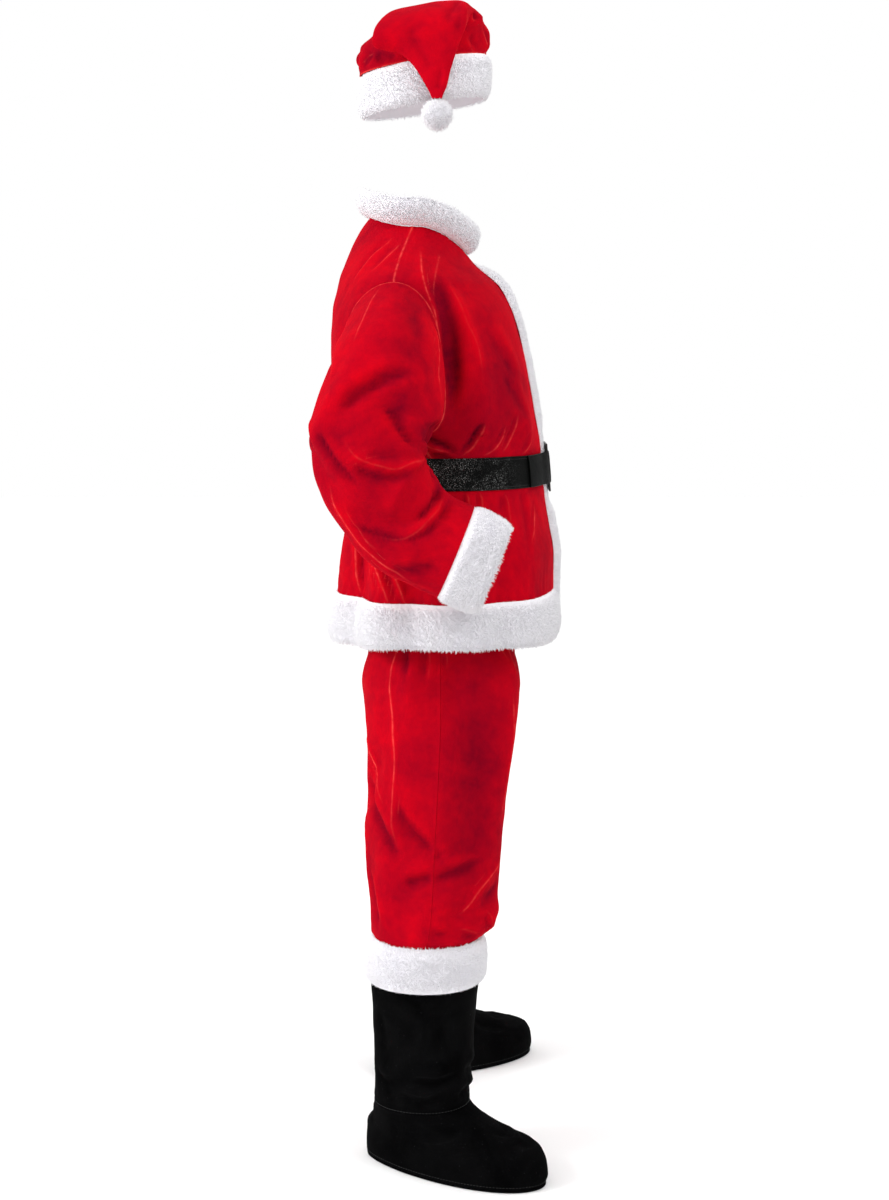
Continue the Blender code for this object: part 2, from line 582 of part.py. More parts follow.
def belt():
    """Leathery strap round the waist, its turned-back end by the buckle, and the buckle."""
    heights = np.array([BELT_BOTTOM, 0.5 * (BELT_BOTTOM + BELT_TOP), BELT_TOP])
    angles = belt_angles(heights)
    grid = np.broadcast_to(heights[:, None], angles.shape)
    lift = belt_lift(angles, grid)[..., None]
    outer = lifted(angles, heights, lift + STRAP)
    slab("belt_strap", outer, lifted(angles, heights, lift), STRAP_BLACK, closed=True)
    middle = np.argmin(np.abs(angles[0]))
    first = middle - len(PLACKET_COLUMNS) - 1
    chosen = slice(first, first + 3)
    top = lifted(angles, heights, lift + 2 * STRAP + LAY_GAP)[:, chosen]
    under = lifted(angles, heights, lift + STRAP + LAY_GAP)[:, chosen]
    slab("belt_fold", top, under, STRAP_BLACK)
    buckle(outer, angles[0])


def buckle(strap_face, angles):
    """Flat frame with a middle bar; the strap runs behind its sides and over its middle bar."""
    side = np.argmin(np.abs(strap_face[0, :, 0] - PLACKET_COLUMNS[2]))
    low, high = strap_face[0, side], strap_face[-1, side]
    up = (high - low) / np.linalg.norm(high - low)
    up[0] = 0.0
    up = up / np.linalg.norm(up)
    across = np.array([1.0, 0.0, 0.0])
    forward = np.cross(across, up)
    seat = 0.5 * (low + high) * np.array([0.0, 1.0, 1.0]) + forward * (LAY_GAP + 0.5 * BUCKLE_THICKNESS)
    half_width, half_height = 0.5 * BUCKLE_WIDTH, 0.5 * BUCKLE_HEIGHT
    inner_width, inner_height = half_width - BUCKLE_BAR, half_height - BUCKLE_BAR
    columns_x = (-half_width, -inner_width, -MIDDLE_BAR, MIDDLE_BAR, inner_width, half_width)
    rows_z = (-half_height, -inner_height, inner_height, half_height)
    windows = {(1, 1), (1, 3)}
    points, numbers = [], {}
    for layer in (-0.5, 0.5):
        for row, z in enumerate(rows_z):
            for place, x in enumerate(columns_x):
                numbers[layer, row, place] = len(points)
                points.append(seat + across * x + up * z + forward * layer * BUCKLE_THICKNESS)
    triangles = []
    solid = {(row, place) for row in range(3) for place in range(5)} - windows
    for row, place in sorted(solid):
        corners = ((row, place), (row, place + 1), (row + 1, place + 1), (row + 1, place))
        front = [numbers[0.5, *corner] for corner in corners]
        back = [numbers[-0.5, *corner] for corner in corners]
        triangles += [(front[0], front[1], front[2]), (front[0], front[2], front[3])]
        triangles += [(back[2], back[1], back[0]), (back[3], back[2], back[0])]
        beyond = ((row - 1, place), (row, place + 1), (row + 1, place), (row, place - 1))
        for edge, neighbour in enumerate(beyond):
            if neighbour not in solid:
                a, b = front[edge], front[(edge + 1) % 4]
                c, d = back[edge], back[(edge + 1) % 4]
                triangles += [(b, a, c), (b, c, d)]
    add_piece("buckle", np.array(points), triangles, BUCKLE_BLACK)


# ---------------------------------------------------------------- sleeves
def armhole(around):
    """The armhole's edge on the jacket's right side: 0 at the shoulder, 90 in front."""
    turn = np.radians(around)
    height = 0.5 * (SHOULDER + ARMPIT) + 0.5 * (SHOULDER - ARMPIT) * np.cos(turn)
    front = -armhole_angle(height, "front_y")
    back = 180.0 + armhole_angle(height, "back_y")
    return body_surface(np.where(np.sin(turn) >= 0, front, back), height)


def arm_ring(around, along):
    """A smooth sleeve without its armhole or folds."""
    sine, cosine = np.sin(np.radians(around)), np.cos(np.radians(around))
    x = column(ARM, "x", along) + column(ARM, "out_x", along) * cosine
    y = column(ARM, "y", along) + column(ARM, "front_y", along) * sine
    z = column(ARM, "z", along) + column(ARM, "front_z", along) * sine
    return stacked(x, y, z + column(ARM, "out_z", along) * cosine)


def sleeve_surface(around, along):
    """The right sleeve's outer face, which starts on the armhole's edge."""
    fit = np.clip(1.0 - np.asarray(along) / 3.0, 0.0, 1.5) ** 2
    points = arm_ring(around, along)
    start = armhole(around) - arm_ring(around, np.zeros(np.shape(along)))
    middle = stacked(column(ARM, "x", along), column(ARM, "y", along), column(ARM, "z", along))
    free = ease(0.3, 1.2, along) * (1.0 - ease(9.0, 9.9, along))
    folded = pushed_out(points, middle, fold_depth(ARM_FOLDS, around, along) * free)
    return folded + start * fit[..., None]


def sleeve_grid(rows):
    """Angles and places of a sleeve's points."""
    around = np.arange(2 * ARMHOLE_STEPS) * 180.0 / ARMHOLE_STEPS
    return np.broadcast_arrays(around[None, :], np.asarray(rows, float)[:, None])


SLEEVE_ROWS = (0.0, 0.55, 1.2, 2.0, 2.8, 3.6, 4.4, 5.1, 5.7, 6.3, 6.9, 7.6, 8.4, 9.2, 10.0)


def sleeve(side):
    """One sleeve of one piece, open at the armhole and the cuff."""
    around, along = sleeve_grid(SLEEVE_ROWS)
    points = sleeve_surface(around, along)
    onward = points[1] - points[0]
    points[0] += SLEEVE_SET * onward / np.linalg.norm(onward, axis=-1, keepdims=True)
    inward = normals(sleeve_surface, around, along, turn=1.0, step=0.03) * CLOTH
    slab("sleeve_" + side.name, mirrored(points, side), mirrored(points + inward, side), VELVET, True)


CUFF_ROWS = (
    PlushRow(0.005, 0.75), PlushRow(0.16, 0.92), PlushRow(0.45, 1.00), PlushRow(0.78, 0.92),
    PlushRow(1.00, 0.40),
)


def cuff(side):
    """Plush cuff that carries the sleeve on to the wrist."""
    places = np.array([row.place for row in CUFF_ROWS])
    around, along = sleeve_grid(CUFF_START + (CUFF_END - CUFF_START) * places)
    inward = normals(sleeve_surface, around, along, turn=1.0, step=0.03)
    depth = np.array([row.depth for row in CUFF_ROWS])[:, None, None] * FUR
    face = sleeve_surface(around, along)
    outer = face - inward * (depth - FUR + CUFF_BULGE)
    inner = face + inward * (FUR - CUFF_BULGE)
    slab("cuff_" + side.name, mirrored(outer, side), mirrored(inner, side), PLUSH, True)


# ---------------------------------------------------------------- trousers
def leg_surface(angle, height):
    """The right leg's outer face: 0 at the outseam, 90 in front, 180 at the inseam, -90 behind."""
    outer, inner = column(LEG, "outer", height), column(LEG, "inner", height)
    side_y, inseam_y = column(LEG, "side_y", height), column(LEG, "inseam_y", height)
    front = np.sin(np.radians(angle)) >= 0
    reach_y = np.where(front, column(LEG, "front_y", height), column(LEG, "back_y", height))
    share = np.abs(turn_between(angle, 0.0)) / 180.0
    around = share * math.pi
    middle_x, half = 0.5 * (outer + inner), 0.5 * (outer - inner)
    leg_x = middle_x + half * np.cos(around)
    edge_y = side_y + (inseam_y - side_y) * share
    leg_y = edge_y + (reach_y - edge_y) * np.sin(around)
    hip_x = outer * np.cos(0.5 * around)
    hip_y = side_y + (reach_y - side_y) * np.sin(0.5 * around)
    leg_part = 1.0 - ease(CROTCH, RISE_START, height)
    x = hip_x + (leg_x - hip_x) * leg_part
    y = hip_y + (leg_y - hip_y) * leg_part
    free = ease(0.372, 0.40, height) * (1.0 - ease(0.90, 1.0, height)) * ease(0.0, 0.12, 1.0 - share)
    out = fold_depth(LEG_FOLDS, turn_between(angle, 0.0), height) * free
    sign = np.where(front, -1.0, 1.0)
    x = x + out * np.cos(around)
    y = y + out * np.sin(around) * sign
    return stacked(-x, y, height)


LEG_HEIGHTS = (
    0.322, 0.350, 0.3675, 0.378, 0.398, 0.430, 0.468, 0.510, 0.552, 0.595, 0.640, 0.690, 0.735,
    CROTCH, 0.800, 0.845, 0.895, 0.950, 1.005, WAIST - SEAM_GAP,
)


def leg_outward(angles, grid):
    """Outward normals of the leg; at the centre seams they keep to the centre plane."""
    outward = normals(leg_surface, angles, grid, turn=0.3)
    centre = (np.abs(turn_between(angles, 180.0)) < 2.0) & (grid >= CROTCH - 0.03)
    outward[centre, 0] = 0.0
    length = np.linalg.norm(outward, axis=-1, keepdims=True)
    return outward / np.maximum(length, 0.3)


def trouser_panel(side, name, angles):
    """Front or back half of one leg, from the outseam to the inseam and the centre seam."""
    grid = np.broadcast_to(np.array(LEG_HEIGHTS)[:, None], (len(LEG_HEIGHTS), len(angles)))
    angles = np.broadcast_to(angles[None, :], grid.shape)
    outer = leg_surface(angles, grid)
    inner = outer - leg_outward(angles, grid) * CLOTH
    limit = -0.5 * SEAM_GAP
    outer[..., 0] = np.minimum(outer[..., 0], limit)
    inner[..., 0] = np.minimum(inner[..., 0], limit)
    slab("trouser_" + name + "_" + side.name, mirrored(outer, side), mirrored(inner, side), VELVET)


def trousers():
    """Four panels and an elastic waistband."""
    gap = 0.12
    half = np.linspace(gap, 180.0 - gap, LEG_COLUMNS // 2 + 1)
    for side in (RIGHT, LEFT):
        trouser_panel(side, "front", half)
        trouser_panel(side, "back", -half)
    waistband()


def waistband():
    """Flat elastic band on the trousers' upper edge."""
    around = np.arange(24) * 15.0
    heights = np.array([WAIST, WAIST + 0.5 * WAISTBAND, WAIST + WAISTBAND])
    turn = np.radians(around)[None, :]
    top = LEG[-1]
    reach = np.where(np.cos(turn) > 0, top.side_y - top.front_y, top.back_y - top.side_y)
    swell = np.array([0.0, 0.0015, 0.0])[:, None]
    x = (top.outer + swell) * np.sin(turn)
    y = top.side_y - (reach + swell) * np.cos(turn)
    outer = stacked(x, y, heights[:, None])
    out = stacked(np.sin(turn), -np.cos(turn), 0.0)
    slab("waistband", outer, outer - out * 2 * CLOTH, VELVET, True)


# ---------------------------------------------------------------- boot covers
def shaft_points(heights, inset=0.0):
    """Rings of the right boot's shaft, as far in from its face as inset says."""
    around = np.radians(np.arange(LEG_COLUMNS) * 360.0 / LEG_COLUMNS)[None, :]
    heights = np.asarray(heights, float)[:, None]
    sine = np.sin(around)
    reach = np.where(sine > 0, SHAFT_Y - column(SHAFT, "front_y", heights),
                     column(SHAFT, "back_y", heights) - SHAFT_Y)
    x = BOOT_X + (column(SHAFT, "half_width", heights) - inset) * np.cos(around)
    y = SHAFT_Y - (reach - inset) * sine
    return stacked(-x, y, heights)


def boot_shaft(side):
    """Plain tube from the ankle seam to the plush band."""
    heights = (ANKLE + SEAM_GAP, 0.122, 0.160, 0.205, 0.250, SHAFT_TOP - SEAM_GAP)
    outer, inner = shaft_points(heights), shaft_points(heights, CLOTH)
    slab("boot_shaft_" + side.name, mirrored(outer, side), mirrored(inner, side), BOOT_BLACK, True)


BOOT_BAND_ROWS = (
    PlushRow(0.00, 0.30), PlushRow(0.14, 0.85), PlushRow(0.45, 1.00), PlushRow(0.80, 0.90),
    PlushRow(1.00, 0.35),
)


def boot_band(side):
    """Plush band at the top of a boot cover; the trouser leg is tucked into it."""
    places = np.array([row.place for row in BOOT_BAND_ROWS])
    heights = SHAFT_TOP + (BOOT_TOP - SHAFT_TOP) * places
    depth = np.array([row.depth for row in BOOT_BAND_ROWS])[:, None] * FUR
    outer, inner = shaft_points(heights, -depth), shaft_points(heights)
    slab("boot_band_" + side.name, mirrored(outer, side), mirrored(inner, side), PLUSH, True)


FOOT_COLUMNS = 20


def sole_outline(inset=0.0):
    """The right sole's outline, counted round from the toe."""
    around = np.arange(FOOT_COLUMNS) * 2 * math.pi / FOOT_COLUMNS
    half = 0.5 * FOOT_LENGTH
    along = half + (half - inset) * np.cos(around)
    across = (SOLE_HALF_WIDTH + SOLE_FLARE * np.cos(around) - inset) * np.sin(around)
    toe_way = np.array([-math.sin(FOOT_SPLAY), -math.cos(FOOT_SPLAY)])
    side_way = np.array([-math.cos(FOOT_SPLAY), math.sin(FOOT_SPLAY)])
    return np.array(HEEL) + along[:, None] * toe_way + across[:, None] * side_way


def boot_foot(side):
    """Soft foot of a boot cover, from the sole's outline up to the ankle seam."""
    outline = sole_outline()
    middle = np.array([-BOOT_X, SHAFT_Y])
    away = outline - middle
    turn = np.arctan2(-away[:, 1], -away[:, 0])
    ankle = SHAFT[0]
    reach = np.where(np.sin(turn) > 0, middle[1] - ankle.front_y, ankle.back_y - middle[1])
    share = np.arctan2(np.sin(turn) / reach, np.cos(turn) / ankle.half_width)
    seam = middle + np.stack([-ankle.half_width * np.cos(share), -reach * np.sin(share)], axis=1)
    low, high = SOLE + SEAM_GAP, ANKLE
    rows = []
    for row in FOOT:
        flat = outline + (seam - outline) * row.inward
        rows.append(stacked(flat[:, 0], flat[:, 1], low + (high - low) * row.upward))
    outer = np.array(rows)
    across = np.roll(outer, -1, axis=1) - np.roll(outer, 1, axis=1)
    upward = np.gradient(outer, axis=0)
    normal = np.cross(across, upward)
    normal = normal / np.linalg.norm(normal, axis=-1, keepdims=True)
    normal[0] *= np.array([1.0, 1.0, 0.0])
    inner = outer + normal * CLOTH
    inner[0, :, 2] = low
    inner[-1, :, 2] = np.minimum(inner[-1, :, 2], high)
    slab("boot_foot_" + side.name, mirrored(outer, side), mirrored(inner, side), BOOT_BLACK, True)


def boot_sole(side):
    """Flat sole with a round edge."""
    outline = sole_outline(SOLE_INSET)
    base = np.concatenate([outline, outline])
    heights = np.repeat([0.0, SOLE], FOOT_COLUMNS)
    points = stacked(base[:, 0], base[:, 1], heights)
    middle = outline.mean(axis=0)
    points = np.concatenate([points, [[*middle, 0.0], [*middle, SOLE]]])
    triangles = []
    for corner in range(FOOT_COLUMNS):
        after = (corner + 1) % FOOT_COLUMNS
        a, b, c, d = corner, after, corner + FOOT_COLUMNS, after + FOOT_COLUMNS
        triangles += [(a, b, d), (a, d, c), (b, a, 2 * FOOT_COLUMNS), (c, d, 2 * FOOT_COLUMNS + 1)]
    add_piece("boot_sole_" + side.name, mirrored(points, side), triangles, BOOT_BLACK)


def boot(side):
    """One boot cover of four pieces."""
    boot_shaft(side)
    boot_band(side)
    boot_foot(side)
    boot_sole(side)


# ---------------------------------------------------------------- hat
def hat_surface(around, along):
    """The crown's outer face, from the band over the top and down to the tip."""
    blunt = 1.0 + (HAT_BLUNT - 1.0) * ease(4.0, 5.5, along)
    sine = signed_power(np.sin(np.radians(around)), blunt)
    cosine = signed_power(np.cos(np.radians(around)), blunt)
    inner_x, outer_x = column(HAT, "inner_x", along), column(HAT, "outer_x", along)
    inner_z, outer_z = column(HAT, "inner_z", along), column(HAT, "outer_z", along)
    back, front = column(HAT, "back_y", along), column(HAT, "front_y", along)
    x = 0.5 * (inner_x + outer_x) + 0.5 * (outer_x - inner_x) * cosine
    z = 0.5 * (inner_z + outer_z) + 0.5 * (outer_z - inner_z) * cosine
    y = 0.5 * (back + front) + 0.5 * (front - back) * sine
    points = stacked(x, y, z - y * column(HAT, "slope", along))
    middle_y = 0.5 * (back + front)
    middle_z = 0.5 * (inner_z + outer_z) - middle_y * column(HAT, "slope", along)
    middle = stacked(0.5 * (inner_x + outer_x), middle_y, middle_z)
    free = ease(0.1, 0.8, along) * (1.0 - ease(5.5, 8.5, along))
    return pushed_out(points, middle, fold_depth(HAT_FOLDS, around, along) * free)


HAT_COLUMNS = 24
HAT_ROWS = (0.0, 0.7, 1.4, 2.1, 2.8, 3.5, 4.2, 5.0, 5.8, 6.5, 7.2, 8.0, 9.0, 10.0, 11.0)


def hat_crown():
    """The cone of the hat, folded over to the wearer's right."""
    around = np.arange(HAT_COLUMNS) * 360.0 / HAT_COLUMNS
    around, along = np.broadcast_arrays(around[None, :], np.array(HAT_ROWS)[:, None])
    outer = hat_surface(around, along)
    inward = normals(hat_surface, around, along, turn=1.0, step=0.03)
    slab("hat_crown", outer, outer + inward * CLOTH, VELVET, True)


HAT_BAND_ROWS = (
    PlushRow(0.00, 0.25), PlushRow(0.12, 0.80), PlushRow(0.45, 1.00), PlushRow(0.82, 0.85),
    PlushRow(1.00, 0.30),
)


def hat_band():
    """Plush band round the head."""
    around = np.radians(np.arange(HAT_COLUMNS) * 360.0 / HAT_COLUMNS)[None, :]
    places = np.array([row.place for row in HAT_BAND_ROWS])[:, None]
    depth = np.array([row.depth for row in HAT_BAND_ROWS])[:, None] * FUR
    faces = []
    for reach in (depth, np.zeros_like(depth)):
        x = (HAT_HALF_WIDTH + reach) * np.cos(around)
        y = -(HAT_HALF_LENGTH + reach) * np.sin(around)
        faces.append(stacked(x, y, HAT_SEAM - HAT_BAND * (1.0 - places) - y * HAT_SLOPE))
    slab("hat_band", faces[0], faces[1], PLUSH, True)


def hat_pompom():
    """Ball of plush at the tip, with its locks standing out all round."""
    golden = 0.5 * (1.0 + math.sqrt(5.0))
    corners = [(a, b * golden, 0.0) for a in (-1, 1) for b in (-1, 1)]
    corners += [(0.0, a, b * golden) for a in (-1, 1) for b in (-1, 1)]
    corners += [(b * golden, 0.0, a) for a in (-1, 1) for b in (-1, 1)]
    points = [np.array(corner) / math.hypot(1.0, golden) for corner in corners]
    edge = min(np.linalg.norm(points[0] - other) for other in points[1:]) * 1.1
    faces = []
    for a in range(12):
        for b in range(a + 1, 12):
            for c in range(b + 1, 12):
                sides = [points[a] - points[b], points[b] - points[c], points[c] - points[a]]
                if max(np.linalg.norm(vector) for vector in sides) < edge:
                    turned = np.dot(np.cross(points[b] - points[a], points[c] - points[a]), points[a])
                    faces.append((a, b, c) if turned > 0 else (a, c, b))
    faces = split_faces(points, faces)
    locks = []
    for face in faces:
        top = len(points)
        middle = sum(points[corner] for corner in face)
        points.append(middle / np.linalg.norm(middle) * (1.0 + POMPOM_LOCK / POMPOM))
        locks += [(face[0], face[1], top), (face[1], face[2], top), (face[2], face[0], top)]
    add_piece("hat_pompom", np.array(points) * POMPOM + np.array(POMPOM_PLACE), locks, PLUSH)


def split_faces(points, faces):
    """Each triangle cut into four, its new corners on the unit ball."""
    middles = {}

    def middle_of(a, b):
        key = (min(a, b), max(a, b))
        if key not in middles:
            middle = points[a] + points[b]
            middles[key] = len(points)
            points.append(middle / np.linalg.norm(middle))
        return middles[key]

    smaller = []
    for a, b, c in faces:
        ab, bc, ca = middle_of(a, b), middle_of(b, c), middle_of(c, a)
        smaller += [(a, ab, ca), (ab, b, bc), (ca, bc, c), (ab, bc, ca)]
    return smaller


# ---------------------------------------------------------------- the suit
def build():
    """All pieces, from the hat down to the soles."""
    for old in list(bpy.data.objects):
        bpy.data.objects.remove(old, do_unlink=True)
    hat_crown()
    hat_band()
    hat_pompom()
    jacket()
    collar()
    placket()
    hem_band()
    belt()
    trousers()
    for side in (RIGHT, LEFT):
        sleeve(side)
        cuff(side)
        boot(side)


build()
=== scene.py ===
"""Looks of a worn santa suit: velvet cloth, plush trims, a belt and black boot covers.

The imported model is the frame. Every piece here repeats the smooth form of the solid that it stands
for, at a finer spacing, and adds what cloth does: creases, seams, gathers and pile. Lengths are in
metres. Heights are counted from the soles and moved down by NECK_HEIGHT when a mesh is made, so
that the origin lies in the middle of the neck. The suit faces -Y and the wearer's right is -X.
"""
import json
import logging
import math
from collections.abc import Callable, Sequence
from dataclasses import dataclass, field
from enum import Enum
from functools import cache
from typing import NamedTuple

import bmesh
import bpy
import numpy as np
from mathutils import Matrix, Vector

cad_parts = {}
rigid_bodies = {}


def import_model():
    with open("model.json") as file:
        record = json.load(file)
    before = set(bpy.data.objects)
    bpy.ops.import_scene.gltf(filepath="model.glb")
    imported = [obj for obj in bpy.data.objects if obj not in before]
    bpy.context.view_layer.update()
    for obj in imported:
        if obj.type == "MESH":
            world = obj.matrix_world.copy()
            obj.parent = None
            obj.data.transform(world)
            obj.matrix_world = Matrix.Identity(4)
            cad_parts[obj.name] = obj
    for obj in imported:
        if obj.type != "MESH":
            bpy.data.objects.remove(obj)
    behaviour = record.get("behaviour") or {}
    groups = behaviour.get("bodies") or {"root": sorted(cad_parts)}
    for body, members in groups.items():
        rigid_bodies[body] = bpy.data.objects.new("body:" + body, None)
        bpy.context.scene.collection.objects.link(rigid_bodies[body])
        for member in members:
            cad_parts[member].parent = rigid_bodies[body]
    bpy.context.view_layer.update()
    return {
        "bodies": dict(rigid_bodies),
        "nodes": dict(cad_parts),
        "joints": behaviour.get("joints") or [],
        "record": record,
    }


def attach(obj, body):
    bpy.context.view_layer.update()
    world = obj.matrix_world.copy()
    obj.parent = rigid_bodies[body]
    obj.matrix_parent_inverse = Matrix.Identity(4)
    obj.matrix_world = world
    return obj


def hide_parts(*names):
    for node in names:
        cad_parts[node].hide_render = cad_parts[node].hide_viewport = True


LOG = logging.getLogger("santa_suit")
Array = np.ndarray
Surface = Callable[[Array, Array], Array]
Colour = tuple[float, float, float]
Object = bpy.types.Object
Socket = bpy.types.NodeSocket
Sockets = bpy.types.bpy_prop_collection
FLOAT, VECTOR = "NodeSocketFloat", "NodeSocketVector"
GEOMETRY, MATERIAL = "NodeSocketGeometry", "NodeSocketMaterial"
WHITE = (1.0, 1.0, 1.0)

# ---- sizes shared by the pieces
NECK_HEIGHT = 1.500        # origin above the soles
NECK = np.array([0.0, 0.0, NECK_HEIGHT])   # the origin, counted from between the soles
ROOT = "root"              # the one body that everything rides on
MESH_STEP = 0.0052         # spacing of the cloth's grid
CLOTH = 0.0018             # velvet and its backing
SEAM_GAP = 0.0003          # between the edges of two sewn pieces
CENTRE_GAP = 0.00002       # from the centre plane to the panels that meet there
LAY_GAP = 0.0006           # between a piece and the cloth that it lies on
FUR = 0.0130               # depth of the plush trim, pile and all
SHARP_ANGLE = math.radians(62)   # cloth that bends more than this at an edge is shaded sharp
SMALLEST = 1e-12           # keeps a division from failing
RIPPLE_WAVES = 11          # waves that an irregular field is made of
CREASE_STEPS = 28          # points along a crease's path
CREASE_GROWN = 0.26        # share of a crease's path over which it grows to its full depth
CREASE_FADING = 0.66       # share from which it dies out
CREASE_NARROW = 0.55       # share of its width that a crease keeps at its ends
SHOULDER_PLACE = 1.7       # the swelling's middle, in widths of the crease
SHOULDER_WIDTH = 1.2       # the swelling's width, in widths of the crease
LINE_PLACE = 1.5           # the painted highlight line beside a trough, in widths of the crease
FAR_FROM_LINE = 0.02       # the distance that is stored where no painted highlight line is near
FAR_FROM_SEAM = 0.05       # the same for seams


class Side(Enum):
    """The wearer's sides, each with the sign of its x."""

    RIGHT = -1.0
    LEFT = 1.0

    @property
    def label(self) -> str:
        """The side's word in the names of nodes."""
        return self.name.lower()


class Edge(Enum):
    """Edges of a cloth grid."""

    FIRST_ROW = "first_row"
    LAST_ROW = "last_row"
    FIRST_COLUMN = "first_column"
    LAST_COLUMN = "last_column"


# ---- rows of the tables
class Section(NamedTuple):
    """A level section of the jacket."""

    height: float
    half_width: float
    side_y: float
    front_y: float
    back_y: float
    squareness: float


class Flute(NamedTuple):
    """A flute of the jacket's skirt: where round the body, how wide, how far out (+) or in (-)."""

    angle: float
    width: float
    depth: float


class Fold(NamedTuple):
    """A soft trough or ridge; lean is in degrees per metre, or per ring on a sleeve or the hat."""

    angle: float
    place: float
    lean: float
    length: float
    width: float
    depth: float


class ArmRing(NamedTuple):
    """A sleeve ring for the right arm: its middle, its reach to the front and outwards."""

    along: float
    x: float
    y: float
    z: float
    front_y: float
    front_z: float
    out_x: float
    out_z: float


class LegRow(NamedTuple):
    """A level section of the right trouser leg."""

    height: float
    outer: float
    inner: float
    front_y: float
    back_y: float
    side_y: float
    inseam_y: float


class ShaftRow(NamedTuple):
    """A level section of the right boot's shaft."""

    height: float
    half_width: float
    front_y: float
    back_y: float


class FootRow(NamedTuple):
    """How far in and how far up a row of the boot's foot lies, from the sole to the ankle."""

    upward: float
    inward: float


class HatRing(NamedTuple):
    """A ring of the hat, from the band over the top and down to the tip."""

    along: float
    inner_x: float
    inner_z: float
    outer_x: float
    outer_z: float
    back_y: float
    front_y: float
    slope: float


class PlushRow(NamedTuple):
    """The depth of a plush trim at a place across or along it, often as a share of FUR."""

    place: float
    depth: float


def table(kind: type, *rows: tuple) -> tuple:
    """Rows of one kind."""
    return tuple(kind(*row) for row in rows)


class Crease(NamedTuple):
    """A crease along points of a surface.

    width, depth and shoulder are in millimetres. A depth above zero is a trough and one below zero
    a ridge; shoulder is the height of the swelling on the trough's left side, seen from outside and
    along the path. line is the strength of the painted highlight beside the trough or on the ridge.
    """

    path: tuple[tuple[float, float], ...]
    width: float
    depth: float
    shoulder: float
    line: float


# ---- curves
def smooth_curve(keys: Sequence[float], values: Sequence[float], at: Array) -> Array:
    """Monotone cubic through rising keys; beyond both ends it goes on straight.

    Args:
        keys: Where the values lie, rising.
        values: A value for each key.
        at: Where the curve is read.

    Returns:
        The curve's values, shaped like at.
    """
    keys = np.asarray(keys, float)
    values = np.asarray(values, float)
    at = np.asarray(at, float)
    step = np.diff(keys)
    slope = np.diff(values) / step
    product = slope[:-1] * slope[1:]
    total = np.where(product > 0, slope[:-1] + slope[1:], 1.0)
    inner = np.where(product > 0, 2 * product / total, 0.0)
    tangent = np.concatenate([slope[:1], inner, slope[-1:]])
    index = np.clip(np.searchsorted(keys, at, side="right") - 1, 0, len(step) - 1)
    part = np.clip((at - keys[index]) / step[index], 0.0, 1.0)
    start = values[index] * (1 + 2 * part) + tangent[index] * step[index] * part
    end = values[index + 1] * (3 - 2 * part) - tangent[index + 1] * step[index] * (1 - part)
    inside = start * (1 - part) ** 2 + end * part ** 2
    below = np.minimum(at - keys[0], 0.0) * tangent[0]
    above = np.maximum(at - keys[-1], 0.0) * tangent[-1]
    return inside + below + above


def read(rows: Sequence[NamedTuple], at: Array) -> NamedTuple:
    """All columns of a table, read smoothly at places along its first one."""
    keys, *columns = zip(*rows)
    return type(rows[0])(at, *(smooth_curve(keys, values, at) for values in columns))


def ease(low: float, high: float, at: Array) -> Array:
    """0 below low, 1 above high and a smooth step between."""
    part = np.clip((np.asarray(at, float) - low) / (high - low), 0.0, 1.0)
    return part * part * (3 - 2 * part)


def signed_power(base: Array, exponent: Array) -> Array:
    """Power of the size of base, with base's own sign."""
    return np.sign(base) * np.abs(base) ** exponent


def turn_between(angle: Array, other: Array) -> Array:
    """Difference of two angles in degrees, from -180 to 180."""
    return (angle - other + 180.0) % 360.0 - 180.0


def fold_depth(folds: Sequence[Fold], angle: Array, place: Array) -> Array:
    """Sum of soft troughs and ridges.

    Args:
        folds: The troughs and ridges.
        angle: Angles in degrees round the piece.
        place: Places along the piece.

    Returns:
        How far out the surface is pushed, in metres.
    """
    total = np.zeros(np.broadcast(angle, place).shape)
    for fold in folds:
        off = place - fold.place
        across = turn_between(angle, fold.angle + fold.lean * off) / fold.width
        reach = off / (0.5 * fold.length)
        total = total + fold.depth * np.exp(-across ** 2 - reach ** 4)
    return total


def stacked(x: Array, y: Array, z: Array) -> Array:
    """Points from their three coordinates."""
    return np.stack(np.broadcast_arrays(x, y, z), axis=-1)


def length_of(vectors: Array) -> Array:
    """Lengths of vectors, with the last axis kept."""
    return np.linalg.norm(vectors, axis=-1, keepdims=True)


def pushed_out(points: Array, middle: Array, depth: Array) -> Array:
    """Points moved away from the middle of their ring."""
    out = points - middle
    return points + out / length_of(out) * depth[..., None]


def normals(surface: Surface, around: Array, along: Array, turn: float, step: float) -> Array:
    """Unit normals of a surface, from short steps both ways.

    Args:
        surface: The surface.
        around: Its first coordinate, in degrees.
        along: Its second coordinate.
        turn: The short step of the first.
        step: The short step of the second.

    Returns:
        A unit vector for each point.
    """
    across = surface(around + turn, along) - surface(around - turn, along)
    onward = surface(around, along + step) - surface(around, along - step)
    normal = np.cross(across, onward)
    return normal / np.maximum(length_of(normal), SMALLEST)


def ripple(points: Array, wave: float, seed: int) -> Array:
    """A smooth irregular field in space, from about -1 to 1.

    Args:
        points: Where it is read.
        wave: Its mean wave length in metres.
        seed: Which field.

    Returns:
        A value for each point.
    """
    chance = np.random.default_rng(seed)
    total = np.zeros(points.shape[:-1])
    warp = np.zeros(points.shape[:-1])
    for _ in range(RIPPLE_WAVES):
        way = chance.normal(size=3)
        way = way / np.linalg.norm(way) * 2 * math.pi / (wave * chance.uniform(0.7, 1.6))
        phase = chance.uniform(0, 2 * math.pi)
        wavefront = np.sin(points @ way + phase + 1.3 * warp)
        total += wavefront
        warp = 0.6 * warp + 0.4 * wavefront
    return total / 5.0


